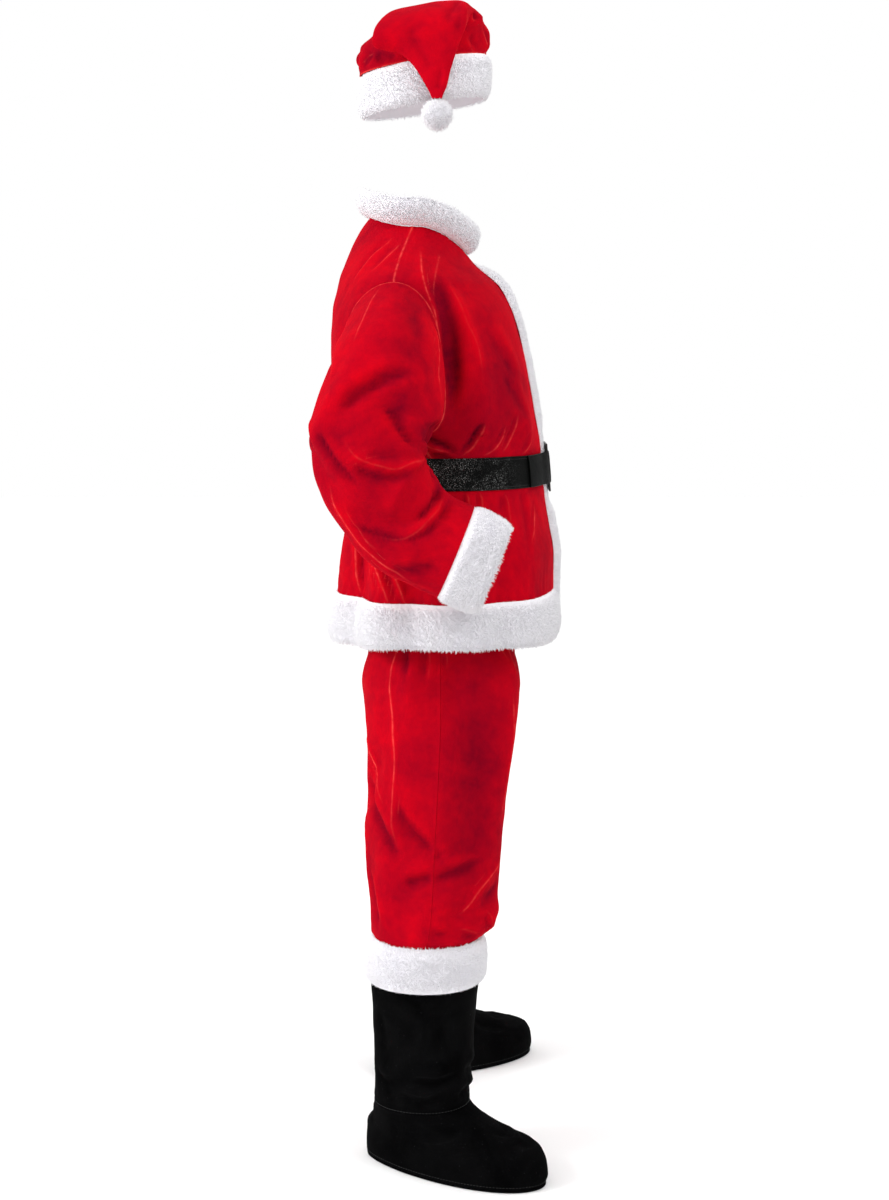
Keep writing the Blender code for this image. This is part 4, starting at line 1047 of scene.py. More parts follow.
SIDE_CREASES = table(
    Crease,
    (((-63, 1.425), (-65, 1.39), (-67, 1.34), (-70, 1.29), (-74, 1.24), (-80, 1.2)), 15, 11, 4, 0),
    (((-58, 1.42), (-59, 1.35), (-57, 1.3), (-60, 1.24)), 10, -4, 0, 0.2),
    (((-76, 1.46), (-74, 1.44), (-72, 1.37), (-73, 1.34), (-75, 1.3),
      (-78, 1.255)), 6, -3, 0, 0.9),
    (((-61, 1.46), (-64, 1.43), (-70, 1.37)), 5.5, -2.2, 0, 0.5),
    (((-84, 1.232), (-85, 1.22), (-88, 1.19), (-91, 1.165)), 5, 5, 3, 0),
    (((-97, 1.172), (-93, 1.162), (-87, 1.152), (-79, 1.141)), 5.5, -6, 0, 0.4),
    (((-76, 1.139), (-85, 1.16), (-93, 1.172), (-98, 1.184)), 5.5, 8, 0, 0),
    (((-80, 1.136), (-88, 1.143), (-98, 1.158)), 4.5, 6, 0, 0),
    (((-62, 1.192), (-66, 1.178), (-71, 1.158), (-79, 1.138)), 5, 8, 3, 0.5),
    (((-46, 1.188), (-56, 1.16), (-66, 1.141)), 4.5, 2.4, 1.6, 0.7),
    (((-36, 1.205), (-45, 1.17), (-54, 1.143)), 4.5, 2.4, 1.6, 0.5),
    (((-30, 1.175), (-34, 1.155), (-40, 1.14)), 5, 2.6, 1.6, 0.4),
    (((-50, 1.335), (-38, 1.29), (-30, 1.235)), 13, 4, 2.4, 0),
    (((-44, 1.275), (-34, 1.225), (-25, 1.185)), 11, 3.6, 2, 0),
    (((-100, 1.47), (-110, 1.445), (-119, 1.42)), 5.5, 2.4, 1.6, 0.6),
    (((-112, 1.478), (-126, 1.446), (-139, 1.405)), 7, 3, 2, 0.5),
    (((-112, 1.255), (-122, 1.205), (-129, 1.155)), 10, 6, 3.5, 0.2),
    (((-98, 1.215), (-108, 1.175), (-114, 1.145)), 8, 5, 3, 0.2),
    (((-145, 1.25), (-150, 1.19), (-151, 1.145)), 9, 5, 3, 0.2),
    (((-140, 0.916), (-144, 0.98), (-146, 1.084)), 6, 6, 4, 0.9),
    (((-132, 1.06), (-130, 0.985), (-125, 0.925)), 7, -3.5, 0, 0.3),
    (((-131, 1.04), (-125, 0.975), (-120, 0.945), (-115, 0.905)), 5, -4, 0, 1.0),
    (((-122, 1.01), (-118, 0.965), (-115, 0.94), (-112, 0.91)), 5, 5, 0, 0),
    (((-119, 1.005), (-115, 0.965), (-111, 0.935), (-107, 0.9)), 5, -4, 0, 0.8),
    (((-98, 1.084), (-101, 1.04), (-102, 0.98), (-100, 0.925)), 8, 5, 3, 0.3),
    (((-79, 1.086), (-79, 1.06), (-80, 1.015)), 4.5, 4, 2.4, 0.4),
    (((-72, 1.086), (-72, 1.062), (-70, 1.025)), 4.5, 3.4, 2, 0.3),
    (((-58, 1.086), (-57, 1.045), (-60, 0.995)), 7, 3.6, 2, 0.2),
    (((-32, 1.06), (-37, 1.035), (-43, 1.0)), 4.5, 2.2, 1.5, 0.8),
    (((-43, 1.086), (-42, 1.05), (-46, 0.96)), 8, 3.4, 2, 0),
)
CENTRE_CREASES = table(
    Crease, (((168, 1.44), (176, 1.38), (184, 1.32)), 13, 4, 2.4, 0),
    (((189, 1.28), (182, 1.21), (180, 1.145)), 10, 5, 3, 0.2),
    (((167, 1.215), (170, 1.17), (171, 1.143)), 7, 4, 2.4, 0.2),
    (((178, 1.086), (179, 1.03), (180, 0.94)), 8, 5, 3, 0.3),
    (((165, 1.086), (166, 1.05), (168, 1.01)), 6, 3.6, 2, 0.2),
)
JACKET_CREASES = (SIDE_CREASES + moved(SIDE_CREASES, 0.0, -0.012, -1.0, 1.1, 0.85, 0.9)
                  + CENTRE_CREASES)
HEM_ROWS = table(
    PlushRow, (0.0, 0.2), (0.13, 0.8), (0.4, 1.0), (0.72, 0.9), (0.93, 0.55), (1.0, 0.1),
)
COLLAR_ROWS = table(PlushRow, (0.03, 0.25), (0.2, 0.8), (0.5, 1.0), (0.82, 0.85), (1.0, 0.25))
PLACKET_ROWS = table(
    PlushRow, (0.836, 0.005), (0.85, 0.0115), (1.03, 0.012), (1.066, 0.0042), (1.158, 0.0042),
    (1.195, 0.011), (1.43, 0.011), (1.486, 0.004),
)
STRIP_ROWS = table(PlushRow, (0.0, 1.0), (0.4, 1.0), (0.75, 0.85), (1.0, 0.25))


@dataclass
class Jacket:
    """The velvet jacket: two fronts, a back, and its plush strip, hem band and collar."""

    hem: float = 0.836
    hem_rise: float = 0.009
    hem_seam: float = 0.913
    belt_bottom: float = 1.085
    belt_top: float = 1.136
    armpit: float = 1.171
    shoulder: float = 1.405
    neck_seam: float = 1.497
    neck_drop: float = 0.042
    neck_rise: float = 0.018
    armhole_front: float = 0.073
    armhole_back: float = 0.085
    armhole_rows: int = 56
    measured_row: int = 20
    panel_radius: float = 0.22
    skirt_full: float = 0.955
    placket_half: float = 0.045
    placket_top: float = 1.4715
    placket_step: float = 0.0050
    placket_least: float = 0.0044
    collar_height: float = 0.044
    collar_lean: float = 0.012
    collar_opening: float = 5.0
    collar_rows: int = 12
    collar_columns: int = 112
    hem_rows: int = 19
    hem_columns: int = 250
    placket_columns: int = 27

    def surface(self, angle: Array, height: Array) -> Array:
        """The jacket's outer face: angle 0 is the centre front, + goes to the wearer's left."""
        row = read(BODY, height)
        sine, cosine = np.sin(np.radians(angle)), np.cos(np.radians(angle))
        reach = np.where(cosine > 0, row.side_y - row.front_y, row.back_y - row.side_y)
        skirt = 1.0 - ease(self.skirt_full, self.belt_bottom - 0.004, height)
        flutes = sum(flute.depth * np.exp(-(turn_between(angle, flute.angle) / flute.width) ** 2)
                     for flute in FLUTES)
        out = skirt * flutes + fold_depth(BODY_FOLDS, angle, height)
        x = row.half_width * signed_power(sine, 2.0 / row.squareness) + out * sine
        y = row.side_y - reach * signed_power(cosine, 2.0 / row.squareness) - out * cosine
        near_neck = ease(self.shoulder - 0.02, self.neck_seam, height) * cosine ** 2
        z = height + near_neck * np.where(cosine > 0, -self.neck_drop, self.neck_rise)
        return stacked(x, y, z)

    def outward(self, angle: Array, height: Array) -> Array:
        """Unit normals of the jacket."""
        return normals(self.surface, angle, height, 0.5, 0.002)

    def angle_at(self, distance: Array, height: Array) -> Array:
        """The angle in front at which the jacket is a distance out from the centre front."""
        row = read(BODY, height)
        return np.degrees(np.arcsin((distance / row.half_width) ** (row.squareness / 2.0)))

    def armhole_angle(self, height: Array, front: bool) -> Array:
        """The angle from the centre front or back to the panel's side edge."""
        span = self.shoulder - self.armpit
        turn = np.arccos(np.clip((2 * height - self.shoulder - self.armpit) / span, -1.0, 1.0))
        row = read(BODY, height)
        half, reach_y = ((self.armhole_front, row.front_y) if front
                         else (self.armhole_back, row.back_y))
        share = np.sin(turn) * half / np.abs(row.side_y - reach_y)
        return np.degrees(np.arccos(share ** (row.squareness / 2.0)))

    def heights(self) -> Array:
        """Rows of the panels: even ones, with the armhole's rows close at its two ends."""
        turns = np.linspace(math.pi, 0.0, self.armhole_rows + 1)
        middle, half = 0.5 * (self.shoulder + self.armpit), 0.5 * (self.shoulder - self.armpit)
        below = np.arange(self.hem_seam + SEAM_GAP, self.armpit - 0.002, MESH_STEP)
        above = np.linspace(self.shoulder + 0.004, self.neck_seam, 19)
        return np.concatenate([below, middle + half * np.cos(turns), above])

    def panels(self) -> None:
        """Both velvet fronts and the back, each between the angles of two edges."""
        heights = self.heights()
        front, back = (self.armhole_angle(heights, ahead) for ahead in (True, False))
        gap = np.degrees(0.6 * SEAM_GAP / self.panel_radius)
        row = self.measured_row
        for node, start, end, flat, area, seed in (
                ("jacket_front_left", 0.0 * front, front, (0.36, 0.62), 0.175, 3),
                ("jacket_front_right", -front, 0.0 * front, (0.36, 0.62), 0.175, 4),
                ("jacket_back", 180.0 - back, 180.0 + back, (0.62, 0.62), 0.31, 5)):
            around = self.surface(np.linspace(start[row], end[row], 80), np.full(80, heights[row]))
            angles, grid = even_columns(self.surface, start + gap, end - gap, heights,
                                        int(length_of(np.diff(around, axis=0)).sum() / MESH_STEP))
            cloth = ClothPanel(node, self.surface, JACKET_CREASES, crumple=0.0009, seed=seed,
                               seams=(Edge.FIRST_COLUMN, Edge.LAST_COLUMN),
                               gathered={Edge.FIRST_ROW: 0.0009})
            under = (ease(self.belt_bottom - 0.006, self.belt_bottom - 0.001, grid)
                     * (1.0 - ease(self.belt_top + 0.001, self.belt_top + 0.006, grid)))
            most = 0.5 * LAY_GAP + 0.02 * (1.0 - under)
            piece = cloth.build(self.surface(angles, grid), self.outward(angles, grid), most=most)

    def placket(self) -> None:
        """The plush strip over the centre front, pressed flat where the belt crosses it."""
        heights = np.arange(self.hem, self.placket_top, self.placket_step)
        share = np.linspace(-1.0, 1.0, self.placket_columns)
        distance = np.abs(share) * self.placket_half
        angles = np.sign(share) * self.angle_at(distance[None, :], heights[:, None])
        grid = np.broadcast_to(heights[:, None], angles.shape)
        face, outward = self.surface(angles, grid), self.outward(angles, grid)
        depth = read(PLACKET_ROWS, heights).depth[:, None] * read(STRIP_ROWS, np.abs(share)).depth
        depth = np.maximum(depth - 0.0005, self.placket_least)
        PlushTrim("placket", seed=11).build(face, outward, depth, face + outward * LAY_GAP)

    def hem_band(self) -> None:
        """The plush band of the hem, from one side of the strip round to the other."""
        share = np.linspace(0.0, 1.0, self.hem_rows)
        heights = self.hem + (self.hem_seam - self.hem) * share
        start = self.angle_at(self.placket_half + 0.0012, heights)
        angles, grid = even_columns(self.surface, start, 360.0 - start, heights, self.hem_columns)
        grid = grid + self.hem_rise * np.sin(np.radians(angles)) ** 2 * (1.0 - share[:, None])
        face, outward = self.surface(angles, grid), self.outward(angles, grid)
        PlushTrim("hem_band", seed=12).build(face, outward, pile_depth(HEM_ROWS, share),
                                             face - outward * CLOTH)

    def neck_surface(self, angle: Array, up: Array) -> Array:
        """The collar's inner face: a low stand that leans out a little."""
        edge = self.surface(angle, np.full(np.shape(angle), self.neck_seam))
        lean = up * self.collar_lean
        x = edge[..., 0] + lean * np.sin(np.radians(angle))
        y = edge[..., 1] - lean * np.cos(np.radians(angle))
        return stacked(x, y, edge[..., 2] + up * self.collar_height)

    def collar(self) -> None:
        """The plush stand collar, open in front."""
        share = np.linspace(0.03, 1.0, self.collar_rows)
        opening = np.full(len(share), self.collar_opening)
        angles, grid = even_columns(self.neck_surface, opening, 360.0 - opening, share,
                                    self.collar_columns)
        face = self.neck_surface(angles, grid)
        outward = stacked(np.sin(np.radians(angles)), -np.cos(np.radians(angles)), 0.0)
        trim = PlushTrim("collar", seed=13, hang=0.1, sewn=Edge.FIRST_ROW, free=Edge.LAST_ROW)
        trim.build(face, outward, pile_depth(COLLAR_ROWS, share), face - outward * CLOTH)

    def build(self) -> None:
        """All pieces of the jacket's body."""
        self.panels()
        self.placket()
        self.hem_band()
        self.collar()


# ---- belt
@dataclass
class Belt:
    """The leathery strap round the waist, its turned-back end and the buckle's frame."""

    jacket: Jacket
    strap: float = 0.0022
    pressed: float = 0.0042
    rest: float = 0.075
    weave: float = 0.0058
    weave_start: float = 0.018
    weave_end: float = 0.034
    fold_start: float = 0.1315
    fold_end: float = 0.0462
    groove_inset: float = 0.0042
    groove_depth: float = 0.00035
    groove_width: float = 0.0009
    stitch_lift: float = 0.0001
    rows_across: int = 17
    strap_columns: int = 320
    fold_columns: int = 24
    buckle_round: float = 0.0009

    def lift(self, angle: Array, height: Array) -> Array:
        """How far the strap's inner face stands off the velvet, over the front strip too."""
        distance = np.abs(self.jacket.surface(angle, height)[..., 0])
        front = np.cos(np.radians(angle)) > 0
        over = 1.0 - ease(self.jacket.placket_half, self.rest, distance)
        weave = (1.0 - ease(self.weave_start, self.weave_end, distance)) * self.weave
        return LAY_GAP + np.where(front, over * (self.pressed + LAY_GAP) + weave, 0.0)

    def rows(self) -> tuple[Array, Array, Array]:
        """Heights across the strap, its thickness there and the pressed groove's depth."""
        share = np.sin(np.linspace(-0.5 * math.pi, 0.5 * math.pi, self.rows_across))
        low, high = self.jacket.belt_bottom, self.jacket.belt_top
        heights = 0.5 * (low + high) + 0.5 * (high - low) * share
        thick = self.strap * (0.45 + 0.55 * np.sqrt(np.clip(1.0 - share ** 10, 0.0, 1.0)))
        inset = 0.5 * (high - low) * (1.0 - np.abs(share))
        groove = self.groove_depth * np.exp(-((inset - self.groove_inset) / self.groove_width) ** 2)
        return heights, thick - groove, inset

    def band(self, name: str, start: float, end: float, count: int, base: float,
             closed: bool) -> tuple[Object, Array, Array]:
        """A stretch of strap over the velvet.

        Args:
            name: The object's name.
            start: Its first angle.
            end: Its last angle.
            count: How many columns.
            base: How far above the strap's own inner face it lies.
            closed: Whether it goes right round.

        Returns:
            The object, its outer points and the normals there.
        """
        heights, thick, _ = self.rows()
        both = (np.full(len(heights), start), np.full(len(heights), end))
        angles, grid = even_columns(self.jacket.surface, *both, heights, count)
        if closed:
            angles, grid = angles[:, :-1], grid[:, :-1]
        face, outward = self.jacket.surface(angles, grid), self.jacket.outward(angles, grid)
        lift = (self.lift(angles, grid) + base)[..., None]
        outer = face + outward * (lift + thick[:, None, None])
        # A random tone, stored under the name of the cloth's painted fold shade; the belt's finish
        # doesn't read it.
        values = {"fold_shade_and_tone": 0.3 * ripple(face, 0.05, 31)}
        piece = wall_mesh(name, outer, face + outward * lift, values, "belt_black", closed)
        return piece, outer, outward

    def stitches(self, outer: Array, outward: Array) -> None:
        """A row of stitches along each edge of the strap."""
        _, _, inset = self.rows()
        chains = []
        half = self.rows_across // 2
        for first, last in ((0, half), (half + 1, self.rows_across)):
            row = first + int(np.argmin(np.abs(inset[first:last] - self.groove_inset)))
            chain = outer[row] + outward[row] * self.stitch_lift
            chains.append(np.concatenate([chain, chain[:1]]))
        piece = stitched("belt_stitches", chains, "thread_black", pitch=0.0046, thread=0.0007)
        placed(piece, "belt_black")

    def buckle(self, node: Object) -> None:
        """The buckle's frame with its edges rounded."""
        piece = linked("buckle_frame", node.data.copy())
        piece.matrix_world = node.matrix_world.copy()
        piece.modifiers.new("weld", "WELD").merge_threshold = 0.00002
        bevel = piece.modifiers.new("round", "BEVEL")
        bevel.width = self.buckle_round
        bevel.segments = 3
        bevel.limit_method = "ANGLE"
        bevel.angle_limit = math.radians(35)
        mesh = applied(piece)
        mesh.shade_smooth()
        mesh.set_sharp_from_angle(angle=math.radians(40))
        mesh.materials.clear()
        mesh.materials.append(named_material("buckle_black"))
        placed(piece, "buckle_black", "buckle")

    def build(self, frame: dict) -> None:
        """Strap, turned-back end, stitches and buckle."""
        strap, outer, outward = self.band("belt_strap_leather", 0.0, 360.0, self.strap_columns,
                                          0.0, True)
        placed(strap, "belt_black", "belt_strap")
        height = 0.5 * (self.jacket.belt_bottom + self.jacket.belt_top)
        low, high = (-float(self.jacket.angle_at(np.array(distance), np.array(height)))
                     for distance in (self.fold_start, self.fold_end))
        fold, _, _ = self.band("belt_fold_leather", low, high, self.fold_columns,
                               self.strap + LAY_GAP, False)
        placed(fold, "belt_black", "belt_fold")
        self.stitches(outer, outward)
        self.buckle(frame["nodes"]["buckle"])


# ---- sleeves
ARM = table(
    ArmRing, (0, -0.232, 0.05, 1.288, -0.079, 0.0, -0.002, 0.117),
    (1, -0.284, 0.058, 1.252, -0.091, 0.004, -0.04, 0.088),
    (2, -0.307, 0.065, 1.217, -0.097, 0.004, -0.05, 0.07),
    (3, -0.317, 0.071, 1.187, -0.098, 0.003, -0.06, 0.045),
    (4, -0.325, 0.076, 1.161, -0.093, 0.0, -0.065, 0.025),
    (5, -0.331, 0.077, 1.138, -0.087, 0.012, -0.067, 0.008),
    (6, -0.334, 0.071, 1.11, -0.078, 0.027, -0.066, 0.0),
    (7, -0.335, 0.053, 1.078, -0.063, 0.046, -0.064, -0.002),
    (8, -0.336, 0.025, 1.048, -0.046, 0.064, -0.062, -0.003),
    (9, -0.337, -0.008, 1.023, -0.035, 0.064, -0.06, 0.0),
    (10, -0.337, -0.049, 1.003, -0.028, 0.068, -0.058, 0.0),
    (11, -0.333, -0.107, 0.976, -0.027, 0.067, -0.056, 0.0),
)
ARM_FOLDS = table(
    Fold, (60, 2.2, -14, 2.6, 14, -0.008), (15, 3.3, 20, 2.4, 16, -0.009),
    (320, 3.0, -16, 2.6, 15, 0.008), (300, 5.2, 18, 2.0, 14, -0.008),
    (75, 4.9, 30, 1.4, 15, -0.006), (35, 6.3, -24, 1.8, 13, 0.008), (100, 6.9, 20, 1.2, 14, 0.005),
    (350, 7.4, 26, 2.0, 14, -0.009), (60, 8.4, -20, 1.8, 13, -0.007),
    (300, 8.6, 12, 2.6, 12, 0.007), (150, 8.8, 14, 2.0, 15, -0.007),
    (210, 4.4, 10, 2.4, 16, -0.007),
)
ARM_CREASES = table(
    Crease, (((84, 2.7), (88, 3.4), (90, 4.2), (92, 5.1)), 34, 17, 0, 0),
    (((328, 3.3), (336, 3.1), (343, 2.86), (352, 2.62), (366, 2.4), (386, 2.24),
      (404, 2.06)), 10, 10, 5, 0),
    (((374, 2.55), (386, 3.1), (392, 3.7)), 17, 6, 0, 0),
    (((412, 4.6), (394, 3.95), (380, 3.4), (366, 3.0)), 7, 7, 4, 0),
    (((346, 0.1), (342, 0.3), (336, 0.8), (332, 1.3)), 6, -2, 0, 0.6),
    (((306, 3.7), (312, 4.24), (322, 4.8), (338, 5.5), (346, 6.2)), 6, 7, 4, 0),
    (((334, 4.2), (347, 4.85), (369, 5.36), (390, 5.72), (417, 5.6), (436, 5.3)), 7, -6, 0, 0.3),
    (((340, 5.1), (352, 5.42), (372, 5.92), (394, 6.2), (412, 6.24)), 9, 6, 0, 0),
    (((356, 4.75), (376, 5.0), (398, 5.1)), 8, 4, 0, 0),
    (((370, 8.1), (386, 8.3), (408, 8.4), (438, 8.36), (456, 8.2)), 5, 8, 0, 0),
    (((326, 7.4), (352, 8.25), (376, 8.58), (408, 8.72), (436, 8.66)), 8, -5, 0, 0.2),
    (((306, 6.8), (318, 7.1), (339, 7.76), (358, 8.52), (386, 8.9), (426, 9.02),
      (446, 8.92)), 6.5, 8, 0, 0),
    (((302, 8.3), (313, 8.75), (331, 9.3), (352, 9.68)), 10, 5, 2.5, 0),
    (((302, 5.5), (304, 6.1), (305, 6.6), (304, 7.2), (306, 7.84), (306, 8.56),
      (301, 9.7)), 6, -3, 0, 1.0),
    (((314, 6.3), (314, 7.0), (317, 7.8)), 4.5, -2, 0, 0.6),
    (((50, 0.2), (57, 0.5), (64, 0.9), (75, 1.52), (81, 2.3)), 6, -3, 0, 0.7),
    (((30, 0.3), (34, 1.0), (38, 1.7)), 12, 4, 2, 0),
    (((100, 4.9), (98, 6.4), (93, 7.6), (90, 8.6)), 8, 6, 3.5, 0.3),
    (((122, 4.8), (128, 5.8), (130, 6.9)), 7, 5, 3, 0.2),
    (((252, 2.2), (244, 3.2), (240, 4.2)), 10, 5.5, 3, 0),
    (((230, 4.8), (236, 5.9), (248, 6.8)), 9, 5.5, 3, 0.2),
    (((170, 3.4), (160, 4.4), (148, 5.2)), 9, 6, 3.5, 0.2),
    (((197, 5.8), (190, 7.0), (190, 8.3)), 9, 5, 3, 0.2),
    (((294, 0.3), (300, 1.2), (309, 2.2)), 8, 3.5, 2.4, 0.2),
    (((284, 8.1), (277, 9.0), (272, 9.8)), 7, 4, 2.6, 0.3),
    (((268, 2.6), (276, 3.6), (286, 4.4)), 11, 5, 3, 0),
)
CUFF_ROWS = table(PlushRow, (0.005, 0.75), (0.16, 0.92), (0.45, 1.0), (0.78, 0.92), (1.0, 0.4))


@dataclass
class Sleeve:
    """A sleeve with its plush cuff, worked out for the right arm and mirrored for the left."""

    jacket: Jacket
    side: Side
    columns: int = 96
    cuff_start: float = 10.0
    cuff_end: float = 11.0
    cuff_bulge: float = 0.004
    cuff_rows: int = 15
    cuff_columns: int = 84
    start_gap: float = -0.0004

    def armhole(self, around: Array) -> Array:
        """The armhole's edge on the jacket: 0 at the shoulder, 90 in front."""
        jacket = self.jacket
        turn = np.radians(around)
        middle = 0.5 * (jacket.shoulder + jacket.armpit)
        height = middle + 0.5 * (jacket.shoulder - jacket.armpit) * np.cos(turn)
        front = -jacket.armhole_angle(height, True)
        back = 180.0 + jacket.armhole_angle(height, False)
        return jacket.surface(np.where(np.sin(turn) >= 0, front, back), height)

    def ring(self, around: Array, along: Array) -> Array:
        """A smooth sleeve without its armhole or folds."""
        sine, cosine = np.sin(np.radians(around)), np.cos(np.radians(around))
        row = read(ARM, along)
        return stacked(row.x + row.out_x * cosine, row.y + row.front_y * sine,
                       row.z + row.front_z * sine + row.out_z * cosine)

    def surface(self, around: Array, along: Array) -> Array:
        """The right sleeve's outer face, which starts on the armhole's edge."""
        fit = np.clip(1.0 - np.asarray(along) / 3.0, 0.0, 1.5) ** 2
        points = self.ring(around, along)
        start = self.armhole(around) - self.ring(around, np.zeros(np.shape(along)))
        row = read(ARM, along)
        middle = stacked(row.x, row.y, row.z)
        free = ease(0.3, 1.2, along) * (1.0 - ease(9.0, 9.9, along))
        folded = pushed_out(points, middle, fold_depth(ARM_FOLDS, around, along) * free)
        return folded + start * fit[..., None]

    def outward(self, around: Array, along: Array) -> Array:
        """Unit normals of the sleeve."""
        return -normals(self.surface, around, along, 1.0, 0.03)

    def cloth(self) -> None:
        """The velvet tube from the armhole to the cuff."""
        around, along = ring_grid(self.columns, even_places(self.surface, self.cuff_start, 20.0))
        points = self.surface(around, along)
        onward = points[1] - points[0]
        points[0] += self.start_gap * onward / length_of(onward)
        shift = 0.0 if self.side is Side.RIGHT else 9.0
        panel = ClothPanel(f"sleeve_{self.side.label}", self.surface,
                           moved(ARM_CREASES, shift, shift / 90.0),
                           closed=True, seams=(Edge.FIRST_ROW,), held=(Edge.LAST_ROW,),
                           gathered={Edge.FIRST_ROW: 0.0010, Edge.LAST_ROW: 0.0009},
                           crumple=0.0011, seed=20 + int(self.side.value))
        piece = panel.build(points, self.outward(around, along), self.side)

    def cuff(self) -> None:
        """The plush cuff, which carries the sleeve on to the wrist."""
        share = np.linspace(0.005, 1.0, self.cuff_rows)
        span = self.cuff_end - self.cuff_start
        around, along = ring_grid(self.cuff_columns, self.cuff_start + span * share)
        outward = self.outward(around, along)
        inner = self.surface(around, along) - outward * (FUR - self.cuff_bulge)
        trim = PlushTrim(f"cuff_{self.side.label}", closed=True, seed=14 + int(self.side.value),
                         hang=0.1, sewn=Edge.FIRST_ROW, free=Edge.LAST_ROW)
        trim.build(inner, outward, pile_depth(CUFF_ROWS, share), inner, self.side)

    def build(self) -> None:
        """Sleeve and cuff."""
        self.cloth()
        self.cuff()


# ---- trousers
LEG = table(
    LegRow, (0.322, 0.2835, 0.1365, -0.0835, 0.075, -0.004, -0.004),
    (0.3755, 0.288, 0.132, -0.0872, 0.0788, -0.004, -0.004),
    (0.384, 0.295, 0.1255, -0.098, 0.0845, -0.006, -0.006),
    (0.398, 0.2955, 0.123, -0.106, 0.086, -0.008, -0.008),
    (0.43, 0.289, 0.111, -0.117, 0.088, -0.012, -0.01),
    (0.505, 0.274, 0.083, -0.127, 0.093, -0.016, -0.012),
    (0.585, 0.264, 0.062, -0.135, 0.093, -0.02, -0.014),
    (0.665, 0.255, 0.042, -0.144, 0.092, -0.024, -0.016),
    (0.72, 0.249, 0.024, -0.15, 0.093, -0.026, -0.018),
    (0.765, 0.243, 0.0, -0.154, 0.098, -0.026, -0.02),
    (0.83, 0.234, 0.0, -0.158, 0.105, -0.026, -0.02),
    (0.9, 0.221, 0.0, -0.154, 0.116, -0.024, -0.02),
    (0.98, 0.203, 0.0, -0.142, 0.117, -0.018, -0.018),
    (1.06, 0.18, 0.0, -0.125, 0.106, -0.01, -0.01),
)
LEG_FOLDS = table(
    Fold, (-70, 0.625, 260, 0.1, 13, -0.011), (60, 0.7, 60, 0.26, 14, 0.008),
    (30, 0.6, -30, 0.3, 12, -0.007), (-40, 0.52, 80, 0.24, 14, 0.008),
    (95, 0.5, -40, 0.26, 13, -0.008), (70, 0.405, 40, 0.06, 16, 0.008),
    (20, 0.41, 80, 0.06, 14, -0.007), (-110, 0.44, -70, 0.16, 15, -0.008),
    (130, 0.62, 50, 0.26, 15, -0.007), (10, 0.8, 20, 0.13, 10, -0.008),
    (-25, 0.8, -20, 0.13, 10, 0.007), (-120, 0.72, 30, 0.15, 14, -0.008),
)
LEG_CREASES = table(
    Crease,
    (((-43, 0.875), (-42, 0.83), (-38, 0.76), (-38, 0.71), (-35.5, 0.65), (-35.5, 0.58),
      (-29, 0.52)), 6, -3.4, 0, 1.0),
    (((-35, 0.87), (-32, 0.838), (-28, 0.815), (-27, 0.78)), 6, 6.5, 3, 0),
    (((-80, 0.71), (-74, 0.67), (-64, 0.63), (-45, 0.592)), 5.5, -3.4, 0, 1.0),
    (((-92, 0.64), (-68, 0.59), (-48, 0.56), (-34, 0.53), (-26, 0.505)), 9, 8, 3.5, 0),
    (((-33, 0.61), (-27, 0.58), (-14, 0.55), (2, 0.522), (10, 0.5)), 8, 7, 3.5, 0),
    (((-26, 0.472), (-17, 0.48), (8, 0.49), (32, 0.5), (46, 0.508)), 9, 7.5, 3.5, 0),
    (((26, 0.425), (34, 0.442), (48, 0.47), (66, 0.492), (76, 0.504)), 6, -4, 0, 0.6),
    (((44, 0.43), (62, 0.452), (82, 0.462)), 11, 6, 0, 0),
    (((74, 0.872), (72, 0.83), (61, 0.775)), 4.5, -2.4, 0, 0.8),
    (((61, 0.872), (63, 0.83), (68, 0.77)), 4.5, -2.2, 0, 0.6),
    (((60, 0.765), (60, 0.73), (63, 0.69), (62, 0.64), (64, 0.59), (64, 0.55)), 5.5, -3, 0, 0.9),
    (((-17, 0.872), (-14, 0.83), (-11, 0.79)), 5.5, 4.4, 2.4, 0.2),
    (((0, 0.872), (1, 0.84), (4, 0.8)), 5.5, 3.6, 2, 0.2),
    (((52, 0.428), (62, 0.402), (75, 0.38)), 6, 4.5, 3, 0.3),
    (((28, 0.402), (42, 0.392), (56, 0.386)), 5.5, 3.6, 2.2, 0.2),
    (((-12, 0.412), (6, 0.402), (24, 0.394)), 6, 3.6, 2.2, 0),
    (((-72, 0.49), (-60, 0.44), (-55, 0.392)), 8, 5, 3, 0.2),
    (((-98, 0.57), (-90, 0.5), (-87, 0.43)), 9, 5.5, 3.4, 0.2),
    (((-97, 0.82), (-104, 0.74), (-107, 0.65)), 10, 5.5, 3.4, 0.2),
    (((-118, 0.66), (-128, 0.59), (-133, 0.51)), 10, 5.5, 3, 0),
    (((98, 0.8), (112, 0.74), (128, 0.705)), 10, 5.5, 3, 0),
    (((103, 0.72), (110, 0.62), (113, 0.52)), 10, 5, 3, 0.2),
    (((122, 0.47), (118, 0.42), (113, 0.385)), 8, 5, 3, 0),
    (((12, 0.86), (22, 0.76), (34, 0.66), (34, 0.56), (22, 0.46)), 42, 5, 0, 0),
    (((145, 0.66), (150, 0.56), (150, 0.46)), 11, 5, 3, 0),
)


